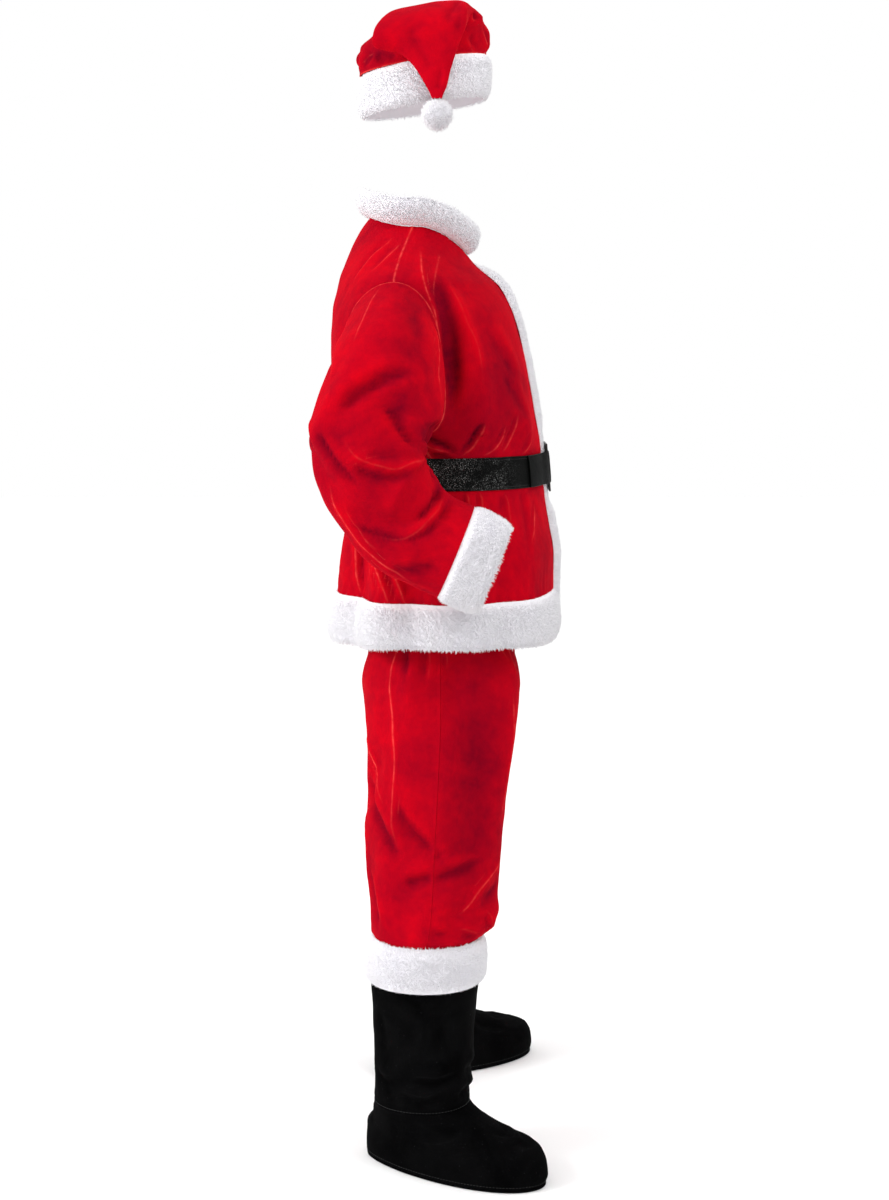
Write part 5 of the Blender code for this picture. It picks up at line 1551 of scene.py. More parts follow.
@dataclass
class Trousers:
    """Four velvet panels, tucked into the boot covers, and the waist's elastic."""

    crotch: float = 0.765
    rise_start: float = 0.900
    foot: float = 0.322
    waist: float = 1.060
    waistband_width: float = 0.036
    waistband_rows: int = 9
    waistband_columns: int = 150
    waistband_gathers: int = 44
    # Scales the swell of the gathers into painted shade and highlight.
    waistband_fold_shade: float = 200.0
    columns: int = 58
    edge_angle: float = 0.12
    tuck_low: float = 0.374
    tuck_high: float = 0.388

    def surface(self, angle: Array, height: Array) -> Array:
        """The right leg: 0 at the outseam, 90 in front, 180 at the inseam, -90 behind."""
        row = read(LEG, height)
        front = np.sin(np.radians(angle)) >= 0
        reach_y = np.where(front, row.front_y, row.back_y)
        share = np.abs(turn_between(angle, 0.0)) / 180.0
        around = share * math.pi
        edge_y = row.side_y + (row.inseam_y - row.side_y) * share
        leg_x = 0.5 * (row.outer + row.inner) + 0.5 * (row.outer - row.inner) * np.cos(around)
        leg_y = edge_y + (reach_y - edge_y) * np.sin(around)
        hip_x = row.outer * np.cos(0.5 * around)
        hip_y = row.side_y + (reach_y - row.side_y) * np.sin(0.5 * around)
        leg_part = 1.0 - ease(self.crotch, self.rise_start, height)
        x = hip_x + (leg_x - hip_x) * leg_part
        y = hip_y + (leg_y - hip_y) * leg_part
        free = ease(0.380, 0.405, height) * (1.0 - ease(0.90, 1.0, height))
        folds = fold_depth(LEG_FOLDS, turn_between(angle, 0.0), height)
        out = folds * free * ease(0.0, 0.12, 1.0 - share)
        sign = np.where(front, -1.0, 1.0)
        return stacked(-(x + out * np.cos(around)), y + out * np.sin(around) * sign, height)

    def outward(self, angle: Array, height: Array) -> Array:
        """Unit normals; at the centre seams they keep to the centre plane."""
        outward = normals(self.surface, angle, height, 0.3, 0.002)
        centre = (np.abs(turn_between(angle, 180.0)) < 2.0) & (height >= self.crotch - 0.03)
        outward[centre, 0] = 0.0
        return outward / np.maximum(length_of(outward), 0.3)

    def panel(self, side: Side, part: str, sign: float) -> None:
        """The front or back half of one leg, from the outseam to the inseam and centre seam."""
        heights = np.concatenate([np.arange(self.foot, 0.900, MESH_STEP),
                                  np.linspace(0.902, self.waist - SEAM_GAP, 20)])
        start = np.full(len(heights), self.edge_angle * sign)
        end = np.full(len(heights), (180.0 - self.edge_angle) * sign)
        angles, grid = even_columns(self.surface, start, end, heights, self.columns)
        points = self.surface(angles, grid)
        points[..., 0] = np.minimum(points[..., 0], -CENTRE_GAP)
        right = side is Side.RIGHT
        creases = LEG_CREASES if right else moved(LEG_CREASES, 3.0, 0.010, 0.94, 1.1)
        panel = ClothPanel(f"trouser_{part}_{side.label}", self.surface, creases, centred=True,
                           seams=(Edge.FIRST_COLUMN, Edge.LAST_COLUMN), seam_fading=0.0026,
                           seam_depth=0.0004, crumple=0.0010, seed=41 if right else 47)
        piece = panel.build(points, self.outward(angles, grid), side,
                            share=ease(self.tuck_low, self.tuck_high, grid))

    def waistband(self) -> None:
        """The gathered elastic band on the upper edge."""
        around, grid = ring_grid(self.waistband_columns,
                                 np.linspace(0.0, 1.0, self.waistband_rows))
        top = LEG[-1]
        turn = np.radians(around)
        reach = np.where(np.cos(turn) > 0, top.side_y - top.front_y, top.back_y - top.side_y)
        gathers = 0.0005 * np.sin(turn * self.waistband_gathers)
        swell = (0.0015 + gathers) * np.sin(math.pi * grid)
        outer = stacked((top.outer + swell) * np.sin(turn),
                        top.side_y - (reach + swell) * np.cos(turn),
                        self.waist + self.waistband_width * grid)
        out = stacked(np.sin(turn), -np.cos(turn), 0.0)
        # The swell of the gathers is also stored to paint shade and highlight into the velvet's
        # colour.
        piece = wall_mesh("waistband_cloth", outer, outer - out * 2 * CLOTH,
                          {"fold_shade_and_tone": swell * self.waistband_fold_shade}, "red_velvet", True)
        placed(piece, "red_velvet", "waistband")

    def build(self) -> None:
        """Panels and waistband."""
        for side in Side:
            self.panel(side, "front", 1.0)
            self.panel(side, "back", -1.0)
        self.waistband()


# ---- boot covers
SHAFT = table(
    ShaftRow, (0.102, 0.07, -0.073, 0.081), (0.125, 0.0715, -0.0745, 0.08),
    (0.185, 0.075, -0.078, 0.081), (0.24, 0.0765, -0.082, 0.0825), (0.296, 0.0785, -0.087, 0.085),
    (0.367, 0.0785, -0.0878, 0.0794),
)
FOOT = table(
    FootRow, (0.0, 0.02), (0.13, -0.015), (0.32, 0.0), (0.5, 0.07), (0.61, 0.25), (0.73, 0.5),
    (0.88, 0.78), (1.0, 1.0),
)
SHAFT_CREASES = table(
    Crease, (((36, 0.122), (60, 0.13), (86, 0.124), (112, 0.132)), 7.5, 4.8, 3.6, 0.5),
    (((-36, 0.134), (-4, 0.122), (30, 0.14)), 8, 4.8, 3.4, 0.3),
    (((-20, 0.16), (12, 0.154), (44, 0.166)), 7.5, 4.4, 3.2, 0.35),
    (((-74, 0.16), (-48, 0.148), (-20, 0.166)), 8.5, 4.6, 3.2, 0.2),
    (((52, 0.172), (80, 0.162), (108, 0.176)), 9, 4.2, 3, 0.2),
    (((-14, 0.19), (14, 0.184), (38, 0.194)), 8.5, 3, 2.2, 0.1),
    (((8, 0.28), (12, 0.23), (10, 0.18)), 12, 3, 2.1, 0),
    (((130, 0.15), (160, 0.142), (190, 0.152)), 9, 3.6, 2.7, 0),
    (((200, 0.22), (225, 0.205), (250, 0.222)), 10.5, 3.3, 2.4, 0),
    (((-60, 0.27), (-52, 0.225), (-54, 0.19)), 12, 3, 2.1, 0),
)
FOOT_CREASES = table(
    Crease, (((-34, 0.78), (-4, 0.71), (30, 0.78)), 7.0, 4.2, 3.0, 0.3),
    (((-46, 0.66), (-10, 0.6), (22, 0.67)), 9.0, 3.6, 2.4, 0.2),
    (((-74, 0.9), (-62, 0.72), (-44, 0.6)), 8.0, 3.6, 2.4, 0.3),
    (((60, 0.84), (84, 0.72), (104, 0.66)), 8.0, 3.6, 2.4, 0.2),
    (((150, 0.84), (170, 0.72), (196, 0.8)), 8.0, 3.4, 2.2, 0.2),
    (((-150, 0.8), (-124, 0.7), (-100, 0.8)), 8.0, 3.6, 2.4, 0.2),
)
BOOT_BAND_ROWS = table(PlushRow, (0.0, 0.3), (0.14, 0.85), (0.45, 1.0), (0.8, 0.9), (1.0, 0.35))


@dataclass
class BootCover:
    """A black cloth boot cover: foot, shaft, flat sole and plush band."""

    side: Side
    top: float = 0.375
    shaft_top: float = 0.303
    ankle: float = 0.102
    sole: float = 0.003
    middle_x: float = 0.210
    middle_y: float = -0.004
    foot_length: float = 0.318
    splay: float = math.radians(28)
    heel_x: float = -0.1680
    heel_y: float = 0.0920
    half_width: float = 0.066
    toe_flare: float = 0.010
    sole_inset: float = 0.0006
    sole_round: float = 0.0009
    sole_columns: int = 96
    shaft_rows: int = 40
    shaft_columns: int = 96
    foot_rows: int = 34
    foot_columns: int = 120
    band_rows: int = 15
    band_columns: int = 108
    ankle_stitches: float = 0.1055
    welt_share: float = 0.055

    def shaft_surface(self, angle: Array, height: Array) -> Array:
        """The right boot's shaft: 0 outside, 90 in front."""
        row = read(SHAFT, height)
        sine = np.sin(np.radians(angle))
        reach = np.where(sine > 0, self.middle_y - row.front_y, row.back_y - self.middle_y)
        x = self.middle_x + row.half_width * np.cos(np.radians(angle))
        return stacked(-x, self.middle_y - reach * sine, height)

    def outline(self, turn: Array, inset: float = 0.0) -> Array:
        """The right sole's outline, counted round from the toe in radians."""
        half = 0.5 * self.foot_length
        along = half + (half - inset) * np.cos(turn)
        across = (self.half_width + self.toe_flare * np.cos(turn) - inset) * np.sin(turn)
        toe_way = np.array([-math.sin(self.splay), -math.cos(self.splay)])
        side_way = np.array([-math.cos(self.splay), math.sin(self.splay)])
        heel = np.array([self.heel_x, self.heel_y])
        return heel + along[..., None] * toe_way + across[..., None] * side_way

    def foot_surface(self, around: Array, upward: Array) -> Array:
        """The right foot, from the sole's outline at 0 to the ankle seam at 1."""
        flat = self.outline(np.radians(around))
        middle = np.array([-self.middle_x, self.middle_y])
        away = flat - middle
        turn = np.arctan2(-away[..., 1], -away[..., 0])
        ring = SHAFT[0]
        reach = np.where(np.sin(turn) > 0, middle[1] - ring.front_y, ring.back_y - middle[1])
        share = np.arctan2(np.sin(turn) / reach, np.cos(turn) / ring.half_width)
        seam = middle - np.stack([ring.half_width * np.cos(share), reach * np.sin(share)], axis=-1)
        level = flat + (seam - flat) * read(FOOT, upward).inward[..., None]
        low = self.sole + SEAM_GAP
        return stacked(level[..., 0], level[..., 1], low + (self.ankle - low) * upward)

    def shaft(self) -> None:
        """The shaft's tube from the ankle seam to the plush band."""
        heights = np.linspace(self.ankle + SEAM_GAP, self.shaft_top - SEAM_GAP, self.shaft_rows)
        around, grid = ring_grid(self.shaft_columns, heights)
        panel = ClothPanel(f"boot_shaft_{self.side.label}", self.shaft_surface, SHAFT_CREASES,
                           material="boot_black", closed=True, crumple=0.0010,
                           seams=(Edge.FIRST_ROW,), held=(Edge.LAST_ROW,),
                           gathered={Edge.FIRST_ROW: 0.0006}, seed=60 + int(self.side.value))
        outward = normals(self.shaft_surface, around, grid, 0.5, 0.002)
        piece = panel.build(self.shaft_surface(around, grid), outward, self.side)

    def foot(self) -> None:
        """The foot, from the sole up to the ankle seam."""
        around, upward = ring_grid(self.foot_columns, np.linspace(0.0, 1.0, self.foot_rows))
        face = self.foot_surface(around, upward)
        outward = -normals(self.foot_surface, around, upward, 1.0, 0.01)
        outward[0] *= np.array([1.0, 1.0, 0.0])
        panel = ClothPanel(f"boot_foot_{self.side.label}", self.foot_surface, FOOT_CREASES,
                           material="boot_black", closed=True, crumple=0.0010,
                           seams=(Edge.LAST_ROW,), held=(Edge.FIRST_ROW,),
                           gathered={Edge.LAST_ROW: 0.0006}, seed=64 + int(self.side.value))
        piece = panel.build(face, outward, self.side)

    def seam_stitches(self) -> None:
        """Stitches along the ankle seam and above the sole."""
        turn = np.linspace(0.0, 360.0, 181)
        ankle = self.shaft_surface(turn, np.full(len(turn), self.ankle_stitches))
        welt = self.foot_surface(turn, np.full(len(turn), self.welt_share))
        middle = np.array([-self.middle_x, -0.04, 0.0])
        out = (welt - middle) * np.array([1.0, 1.0, 0.0])
        welt = welt + out / length_of(out) * 0.0002
        chains = [mirrored(chain, self.side) for chain in (ankle, welt)]
        piece = stitched(f"boot_stitches_{self.side.label}", chains, "thread_black", pitch=0.0052)
        placed(piece, "boot_black")

    def sole_plate(self) -> None:
        """The flat sole with its rounded edge."""
        shares = np.array([0.02, 0.25, 0.5, 0.75, 0.93, 0.985, 1.0])[:, None]
        turn = np.linspace(0.0, 2 * math.pi, self.sole_columns, endpoint=False)
        edge = self.outline(turn, self.sole_inset)
        middle = edge.mean(axis=0)
        level = middle + (edge - middle) * shares[..., None]
        roll = self.sole_round * np.clip((shares - 0.93) / 0.07, 0.0, 1.0) ** 2
        under = stacked(level[..., 0], level[..., 1], roll)
        over = stacked(level[..., 0], level[..., 1], self.sole)
        rings = mirrored(np.concatenate([under, over[::-1]]), self.side)
        piece = capped_rings(f"boot_sole_{self.side.label}_felt", rings)
        placed(piece, "boot_black", f"boot_sole_{self.side.label}")

    def band(self) -> None:
        """The plush band; the trouser leg is tucked into it."""
        share = np.linspace(0.0, 1.0, self.band_rows)
        around, grid = ring_grid(self.band_columns,
                                 self.shaft_top + (self.top - self.shaft_top) * share)
        face = self.shaft_surface(around, grid)
        outward = stacked(-np.cos(np.radians(around)), -np.sin(np.radians(around)), 0.0)
        trim = PlushTrim(f"boot_band_{self.side.label}", closed=True, hang=-0.15,
                         sewn=Edge.FIRST_ROW, free=Edge.LAST_ROW, seed=17 + int(self.side.value))
        trim.build(face, outward, pile_depth(BOOT_BAND_ROWS, share), face, self.side)

    def build(self) -> None:
        """All pieces of one boot cover."""
        self.shaft()
        self.foot()
        self.sole_plate()
        self.seam_stitches()
        self.band()


def capped_rings(name: str, rings: Array) -> Object:
    """A closed flat body of rings whose first and last ring are closed by fans.

    Args:
        name: The object's name.
        rings: The rings' points, a row for each.

    Returns:
        The object.
    """
    rows, columns = rings.shape[:2]
    points = np.concatenate([rings.reshape(-1, 3), rings[[0, -1]].mean(axis=1)])
    faces = grid_quads(rows, columns, True).tolist()
    for hub, first in ((rows * columns, 0), (rows * columns + 1, (rows - 1) * columns)):
        for step in range(columns):
            start, end = first + step, first + (step + 1) % columns
            faces.append((start, end, hub) if first else (end, start, hub))
    mesh = bpy.data.meshes.new(name)
    mesh.from_pydata((points - NECK).tolist(), [], faces)
    mesh.update()
    middle = points[:, 2].mean() - NECK_HEIGHT
    if sum(f.normal.z * (f.center.z - middle) * f.area for f in mesh.polygons) < 0:
        mesh.flip_normals()
    mesh.shade_smooth()
    mesh.set_sharp_from_angle(angle=math.radians(50))
    mesh.materials.append(named_material("boot_black"))
    return linked(name, mesh)


# ---- hat
HAT = table(
    HatRing, (0, -0.087, 1.7568, 0.087, 1.7568, 0.105, -0.1, 0.16),
    (1, -0.09, 1.774, 0.0895, 1.783, 0.106, -0.099, 0.16),
    (2, -0.089, 1.79, 0.081, 1.812, 0.099, -0.098, 0.165),
    (3, -0.0885, 1.798, 0.054, 1.835, 0.082, -0.091, 0.175),
    (4, -0.0925, 1.8, 0.01, 1.8465, 0.074, -0.082, 0.18),
    (5, -0.0985, 1.7945, -0.046, 1.8465, 0.07, -0.075, 0.18),
    (6, -0.1005, 1.785, -0.091, 1.831, 0.077, -0.069, 0.17),
    (7, -0.1015, 1.775, -0.116, 1.803, 0.08, -0.062, 0.14),
    (8, -0.104, 1.759, -0.122, 1.774, 0.038, -0.053, 0.1),
    (9, -0.108, 1.731, -0.127, 1.739, 0.011, -0.043, 0.05),
    (10, -0.114, 1.708, -0.13, 1.711, -0.003, -0.035, 0.0),
    (11, -0.119, 1.69, -0.13, 1.6905, -0.013, -0.028, 0.0),
)
HAT_FOLDS = table(
    Fold, (70, 2.4, 18, 1.4, 12, -0.01), (95, 1.2, 8, 1.2, 12, 0.007),
    (110, 2.8, -20, 1.4, 11, 0.006), (60, 0.9, 20, 1.0, 14, -0.005),
    (275, 1.8, -12, 1.6, 16, 0.006), (300, 2.6, 20, 1.6, 14, -0.007),
    (30, 3.6, 24, 2.0, 14, -0.006), (40, 7.0, 10, 3.0, 16, -0.005),
    (330, 5.0, -16, 2.4, 18, 0.005),
)
HAT_CREASES = table(
    Crease, (((62, 0.3), (74, 1.0), (80, 1.8), (78, 2.6)), 6.8, 5.1, 3.9, 0.6),
    (((88, 0.2), (96, 0.8), (104, 1.5), (110, 2.2)), 6.8, 5.4, 3.9, 0.6),
    (((117, 2.9), (112, 3.6), (100, 4.2)), 6.8, 5.1, 3.3, 0.4),
    (((66, 0.1), (70, 0.5), (72, 0.9)), 5.2, 3.9, 2.4, 0.1),
    (((120, 0.2), (128, 0.9), (134, 1.6)), 6.8, 4.5, 3, 0.2),
    (((249, 0.2), (246, 0.8), (240, 1.4)), 6.8, 4.5, 3, 0.1),
    (((219, 0.15), (221, 0.6), (228, 1.1)), 6, 4.2, 2.7, 0),
    (((268, 0.6), (272, 1.4), (280, 2.2), (292, 3.0)), 8.2, 5.1, 3.6, 0.2),
    (((300, 1.2), (312, 2.0), (318, 2.8)), 8.2, 4.5, 3, 0.1),
    (((20, 1.4), (28, 2.2), (34, 3.0)), 8.2, 4.8, 3.3, 0.1),
    (((-10, 2.4), (4, 3.2), (12, 4.0)), 8.2, 4.2, 3, 0.1),
    (((40, 0.2), (44, 0.7), (50, 1.2)), 6, 3.9, 2.7, 0.1),
    (((330, 0.2), (326, 0.7), (320, 1.2)), 6, 3.9, 2.7, 0),
    (((9, 6.8), (-10, 7.6), (-16, 8.4), (2, 9.4)), 7.5, 2.4, 1.2, 0),
    (((49, 5.6), (56, 6.4), (66, 7.2), (82, 8.0)), 8.5, 3.6, 2.2, 0.25),
    (((252, 1.6), (238, 1.46), (222, 1.1), (208, 0.72), (200, 0.3)), 15, 6.5, 0, 0),
    (((247, 0.4), (241, 0.85), (231, 1.25)), 4.5, 2.4, 1.6, 0.5),
    (((48, 5.2), (40, 6.2), (38, 7.2)), 7.5, 3.3, 2.1, 0),
    (((20, 9.0), (14, 9.8), (10, 10.6)), 5.2, 2.1, 1.5, 0),
)
HAT_BAND_ROWS = table(PlushRow, (0.0, 0.25), (0.12, 0.8), (0.45, 1.0), (0.82, 0.95), (1.0, 0.55))


@dataclass
class Hat:
    """The pointed hat, folded over to the wearer's right, with its plush band and pompom."""

    band_height: float = 0.066
    seam: float = 1.7565
    slope: float = 0.160
    blunt: float = 0.76
    half_width: float = 0.083
    half_length: float = 0.096
    columns: int = 116
    rings: int = 96
    last_ring: float = 11.0
    band_rows: int = 15
    band_columns: int = 124
    pompom_x: float = -0.1245
    pompom_y: float = -0.0210
    pompom_z: float = 1.6660
    pompom_core: float = 0.0192

    def surface(self, around: Array, along: Array) -> Array:
        """The crown's outer face, from the band over the top and down to the tip."""
        blunt = 1.0 + (self.blunt - 1.0) * ease(4.0, 5.5, along)
        sine = signed_power(np.sin(np.radians(around)), blunt)
        cosine = signed_power(np.cos(np.radians(around)), blunt)
        row = read(HAT, along)
        middle_x, middle_y = 0.5 * (row.inner_x + row.outer_x), 0.5 * (row.back_y + row.front_y)
        middle_z = 0.5 * (row.inner_z + row.outer_z)
        x = middle_x + 0.5 * (row.outer_x - row.inner_x) * cosine
        y = middle_y + 0.5 * (row.front_y - row.back_y) * sine
        z = middle_z + 0.5 * (row.outer_z - row.inner_z) * cosine
        middle = stacked(middle_x, middle_y, middle_z - middle_y * row.slope)
        free = ease(0.1, 0.8, along) * (1.0 - ease(5.5, 8.5, along))
        depth = fold_depth(HAT_FOLDS, around, along) * free
        return pushed_out(stacked(x, y, z - y * row.slope), middle, depth)

    def crown(self) -> None:
        """The velvet cone."""
        along = even_places(self.surface, self.last_ring, 0.0, self.rings)
        whole = np.zeros(self.rings)
        angles, grid = (values[:, :-1] for values in even_columns(
            self.surface, whole, whole + 360.0, along, self.columns + 1))
        outward = -normals(self.surface, angles, grid, 1.0, 0.03)
        panel = ClothPanel("hat_crown", self.surface, HAT_CREASES, closed=True,
                           seams=(Edge.FIRST_ROW,), held=(Edge.LAST_ROW,), crumple=0.0010,
                           gathered={Edge.FIRST_ROW: 0.0012}, seed=71)
        piece = panel.build(self.surface(angles, grid), outward)

    def band(self) -> None:
        """The plush band round the head."""
        share = np.linspace(0.0, 1.0, self.band_rows)
        around, grid = ring_grid(self.band_columns, share)
        around = np.radians(around)
        x, y = self.half_width * np.cos(around), -self.half_length * np.sin(around)
        level = self.seam - self.band_height * (1.0 - grid)
        face = stacked(x, y, level - y * self.slope)
        outward = stacked(np.cos(around), -np.sin(around), self.slope * np.sin(around))
        trim = PlushTrim("hat_band", closed=True, seed=23, tuft_length=0.0040, lean=0.70, hang=0.15)
        trim.build(face, outward, pile_depth(HAT_BAND_ROWS, share), face)

    def pompom(self) -> None:
        """The ball of plush at the tip."""
        trim = PlushTrim("hat_pompom", seed=29, fill=0.8, tufts=420000.0, tuft_length=0.0078,
                         hang=0.05, lean=0.7)
        shape = bmesh.new()
        bmesh.ops.create_icosphere(shape, subdivisions=4, radius=1.0)
        mesh = bpy.data.meshes.new(f"{trim.node}_plush")
        shape.to_mesh(mesh)
        shape.free()
        flat = np.empty(3 * len(mesh.vertices))
        mesh.vertices.foreach_get("co", flat)
        way = flat.reshape(-1, 3)
        size = self.pompom_core + 0.0010 * ripple(way, 1.1, 5) + 0.0006 * ripple(way, 0.5, 6)
        place = np.array([self.pompom_x, self.pompom_y, self.pompom_z - NECK_HEIGHT])
        mesh.vertices.foreach_set("co", (way * size[:, None] + place).ravel())
        # The core gets the painted shade level of the tufts' roots.
        set_values(mesh, {"fur": np.ones(len(way)), "tip": np.full(len(way), trim.root_shade)})
        mesh.materials.append(named_material("white_plush"))
        mesh.shade_smooth()
        trim.finish(linked(mesh.name, mesh))

    def build(self) -> None:
        """Band, crown and pompom."""
        self.band()
        self.crown()
        self.pompom()


# ---- finishes


@cache
def pile_mottle() -> bpy.types.NodeTree:
    """Patches, flecks and fine height of a pile that was brushed this way and that."""
    nodes, given, result = node_group(
        "ShaderNodeTree", "pile_mottle",
        {"Place": (VECTOR, None), "Patch scale": (FLOAT, 8.0), "Fleck scale": (FLOAT, 60.0),
         "Pile scale": (FLOAT, 900.0)}, {"Patch": FLOAT, "Fleck": FLOAT, "Height": FLOAT})
    for label, scale, detail, distortion in (("Patch", "Patch scale", 4.0, 0.6),
                                             ("Fleck", "Fleck scale", 5.0, 0.0),
                                             ("Height", "Pile scale", 2.0, 0.0)):
        noise = nodes.noise(given["Place"], given[scale], detail, 0.62, distortion)
        nodes.fill(result[label], noise)
    return nodes.tree


@cache
def highlight_line() -> bpy.types.NodeTree:
    """A thin painted highlight along a seam or the top of a crease, a little broken up."""
    nodes, given, result = node_group(
        "ShaderNodeTree", "highlight_line",
        {"Place": (VECTOR, None), "Distance": (FLOAT, 0.02), "Strength": (FLOAT, 0.0),
         "Width": (FLOAT, 0.0012)}, {"Mask": FLOAT})
    share = nodes.maths("DIVIDE", nodes.maths("ABSOLUTE", given["Distance"]), given["Width"])
    fall = nodes.maths("MULTIPLY", nodes.maths("MULTIPLY", share, share), -1.0)
    crest_highlight = nodes.maths("POWER", 2.718, fall)
    broken = nodes.spread(nodes.noise(given["Place"], 90.0, 3.0), 0.35, 0.60, 0.25, 1.0)
    lit = nodes.maths("MULTIPLY", nodes.maths("MULTIPLY", crest_highlight, given["Strength"]), broken)
    nodes.fill(result["Mask"], lit)
    return nodes.tree


class Finish:
    """A finish: the Principled shader's plain values and what changes over the surface."""

    name: str
    roughness: float
    sheen = 0.0
    sheen_roughness = 0.4
    sheen_tint: Colour = WHITE
    specular = 0.5

    def make(self) -> None:
        """The material."""
        self.dress(MaterialTree(self))
        LOG.info("finish %s", self.name)

    def dress(self, nodes: "MaterialTree") -> None:
        """Colours and relief; each finish has its own."""


class MaterialTree(NodeTree):
    """The node tree of one finish's material."""

    def __init__(self, finish: Finish) -> None:
        """Makes the material with the finish's plain values."""
        material = bpy.data.materials.new(f"{finish.name}_finish")
        material.use_nodes = True
        super().__init__(material.node_tree)
        self.inputs = self.tree.nodes["Principled BSDF"].inputs
        for name, value in (("Roughness", finish.roughness), ("Sheen Weight", finish.sheen),
                            ("Specular IOR Level", finish.specular),
                            ("Sheen Roughness", finish.sheen_roughness),
                            ("Sheen Tint", finish.sheen_tint)):
            self.shade(name, value)
        self.place = self.add("ShaderNodeTexCoord").outputs["Object"]

    def shade(self, name: str, value: object) -> None:
        """Gives the Principled shader one of its inputs."""
        self.fill(self.inputs[name], value)

    def mottle(self, patch: float, fleck: float, pile: float) -> Sockets:
        """The shared pile group, with this finish's scales."""
        return self.add("ShaderNodeGroup", {
            "Place": self.place, "Patch scale": patch, "Fleck scale": fleck, "Pile scale": pile,
        }, node_tree=pile_mottle()).outputs

    def highlight_mask(self, distance: str, strength: object, width: float = 0.0012) -> Socket:
        """The mask of the thin painted highlight lines, at a distance that the mesh carries."""
        return self.add("ShaderNodeGroup", {
            "Place": self.place, "Distance": self.attribute(distance), "Strength": strength,
            "Width": width}, node_tree=highlight_line()).outputs["Mask"]

    def bump(self, height: Socket, strength: float, distance: float) -> None:
        """A bump from a height, fed to the shader's normal."""
        bump = self.add("ShaderNodeBump",
                        {"Strength": strength, "Distance": distance, "Height": height})
        self.shade("Normal", bump.outputs["Normal"])

    def pile_bump(self, mottle: Sockets, strength: float) -> None:
        """The relief of a short pile."""
        height = self.maths("MULTIPLY_ADD", mottle["Height"], 0.5, mottle["Fleck"])
        self.bump(height, strength, 0.0008)


@dataclass(frozen=True)
class Velvet(Finish):
    """Soft velvet, with painted shade in its troughs and painted highlights along its crests and
    seams.
    """

    name: str = "red_velvet"
    # deep and bright are a shaded and a lit tone of the same red; random patches and the painted
    # fold shade mix them.
    deep: Colour = (0.115, 0.0003, 0.0100)
    bright: Colour = (0.58, 0.0006, 0.0080)
    # The painted highlight colour of the thin lines along crease ridges and seams.
    crest_highlight: Colour = (0.90, 0.080, 0.070)
    roughness: float = 0.85
    sheen: float = 0.36
    sheen_roughness: float = 0.32
    sheen_tint: Colour = (1.0, 0.004, 0.020)
    specular: float = 0.02
    # How strongly the painted highlight lines show on creases and on seams.
    line_highlight_share: float = 0.55
    seam_highlight_share: float = 0.60
    line_width: float = 0.0014

    def dress(self, nodes: MaterialTree) -> None:
        """Painted fold shade, random patches, painted highlight lines and the fine pile."""
        mottle = nodes.mottle(7.0, 70.0, 1100.0)
        patch = nodes.spread(mottle["Patch"], 0.34, 0.66, 0.12, 0.50)
        fleck = nodes.spread(mottle["Fleck"], 0.30, 0.70, 0.0, 0.20)
        # Painted shade and highlight from the stored relief: darker in troughs, lighter on
        # swellings.
        fold_shade_and_tone = nodes.spread(nodes.attribute("fold_shade_and_tone"), -1.0, 1.0, -0.16, 0.56)
        share = nodes.maths("ADD", nodes.maths("ADD", patch, fleck), fold_shade_and_tone)
        colour = nodes.blend(nodes.spread(share, 0.0, 1.0, 0.0, 1.0), self.deep, self.bright)
        # Painted highlight lines along crease ridges and seams.
        crest_highlight = nodes.highlight_mask("line", nodes.attribute("highlight_strength"), self.line_width)
        seam = nodes.highlight_mask("seam", 1.0, self.line_width)
        lit = nodes.maths("MAXIMUM", nodes.maths("MULTIPLY", crest_highlight, self.line_highlight_share),
                          nodes.maths("MULTIPLY", seam, self.seam_highlight_share))
        nodes.shade("Base Color", nodes.blend(lit, colour, self.crest_highlight))
        nodes.pile_bump(mottle, 0.35)


@dataclass(frozen=True)
class Plush(Finish):
    """White plush: painted shade at the roots, lighter tips and a few matted patches."""

    name: str = "white_plush"
    # root is the white with painted shade, tip the white as lit.
    root: Colour = (0.93, 0.915, 0.955)
    tip: Colour = (0.965, 0.955, 0.98)
    matted: Colour = (0.90, 0.88, 0.94)
    roughness: float = 0.95
    sheen: float = 0.12
    sheen_roughness: float = 0.50
    specular: float = 0.15

    def dress(self, nodes: MaterialTree) -> None:
        """Colour from the root to the tip of each tuft, with painted shade at the root, and a fluffy
        relief between them.
        """
        mottle = nodes.mottle(16.0, 130.0, 700.0)
        height = nodes.spread(nodes.attribute("tip"), 0.2, 1.0, 0.0, 1.0)
        colour = nodes.blend(height, self.root, self.tip)
        matted = nodes.spread(mottle["Patch"], 0.52, 0.70, 0.0, 0.40)
        nodes.shade("Base Color", nodes.blend(matted, colour, self.matted))
        nodes.bump(mottle["Fleck"], 0.25, 0.0012)


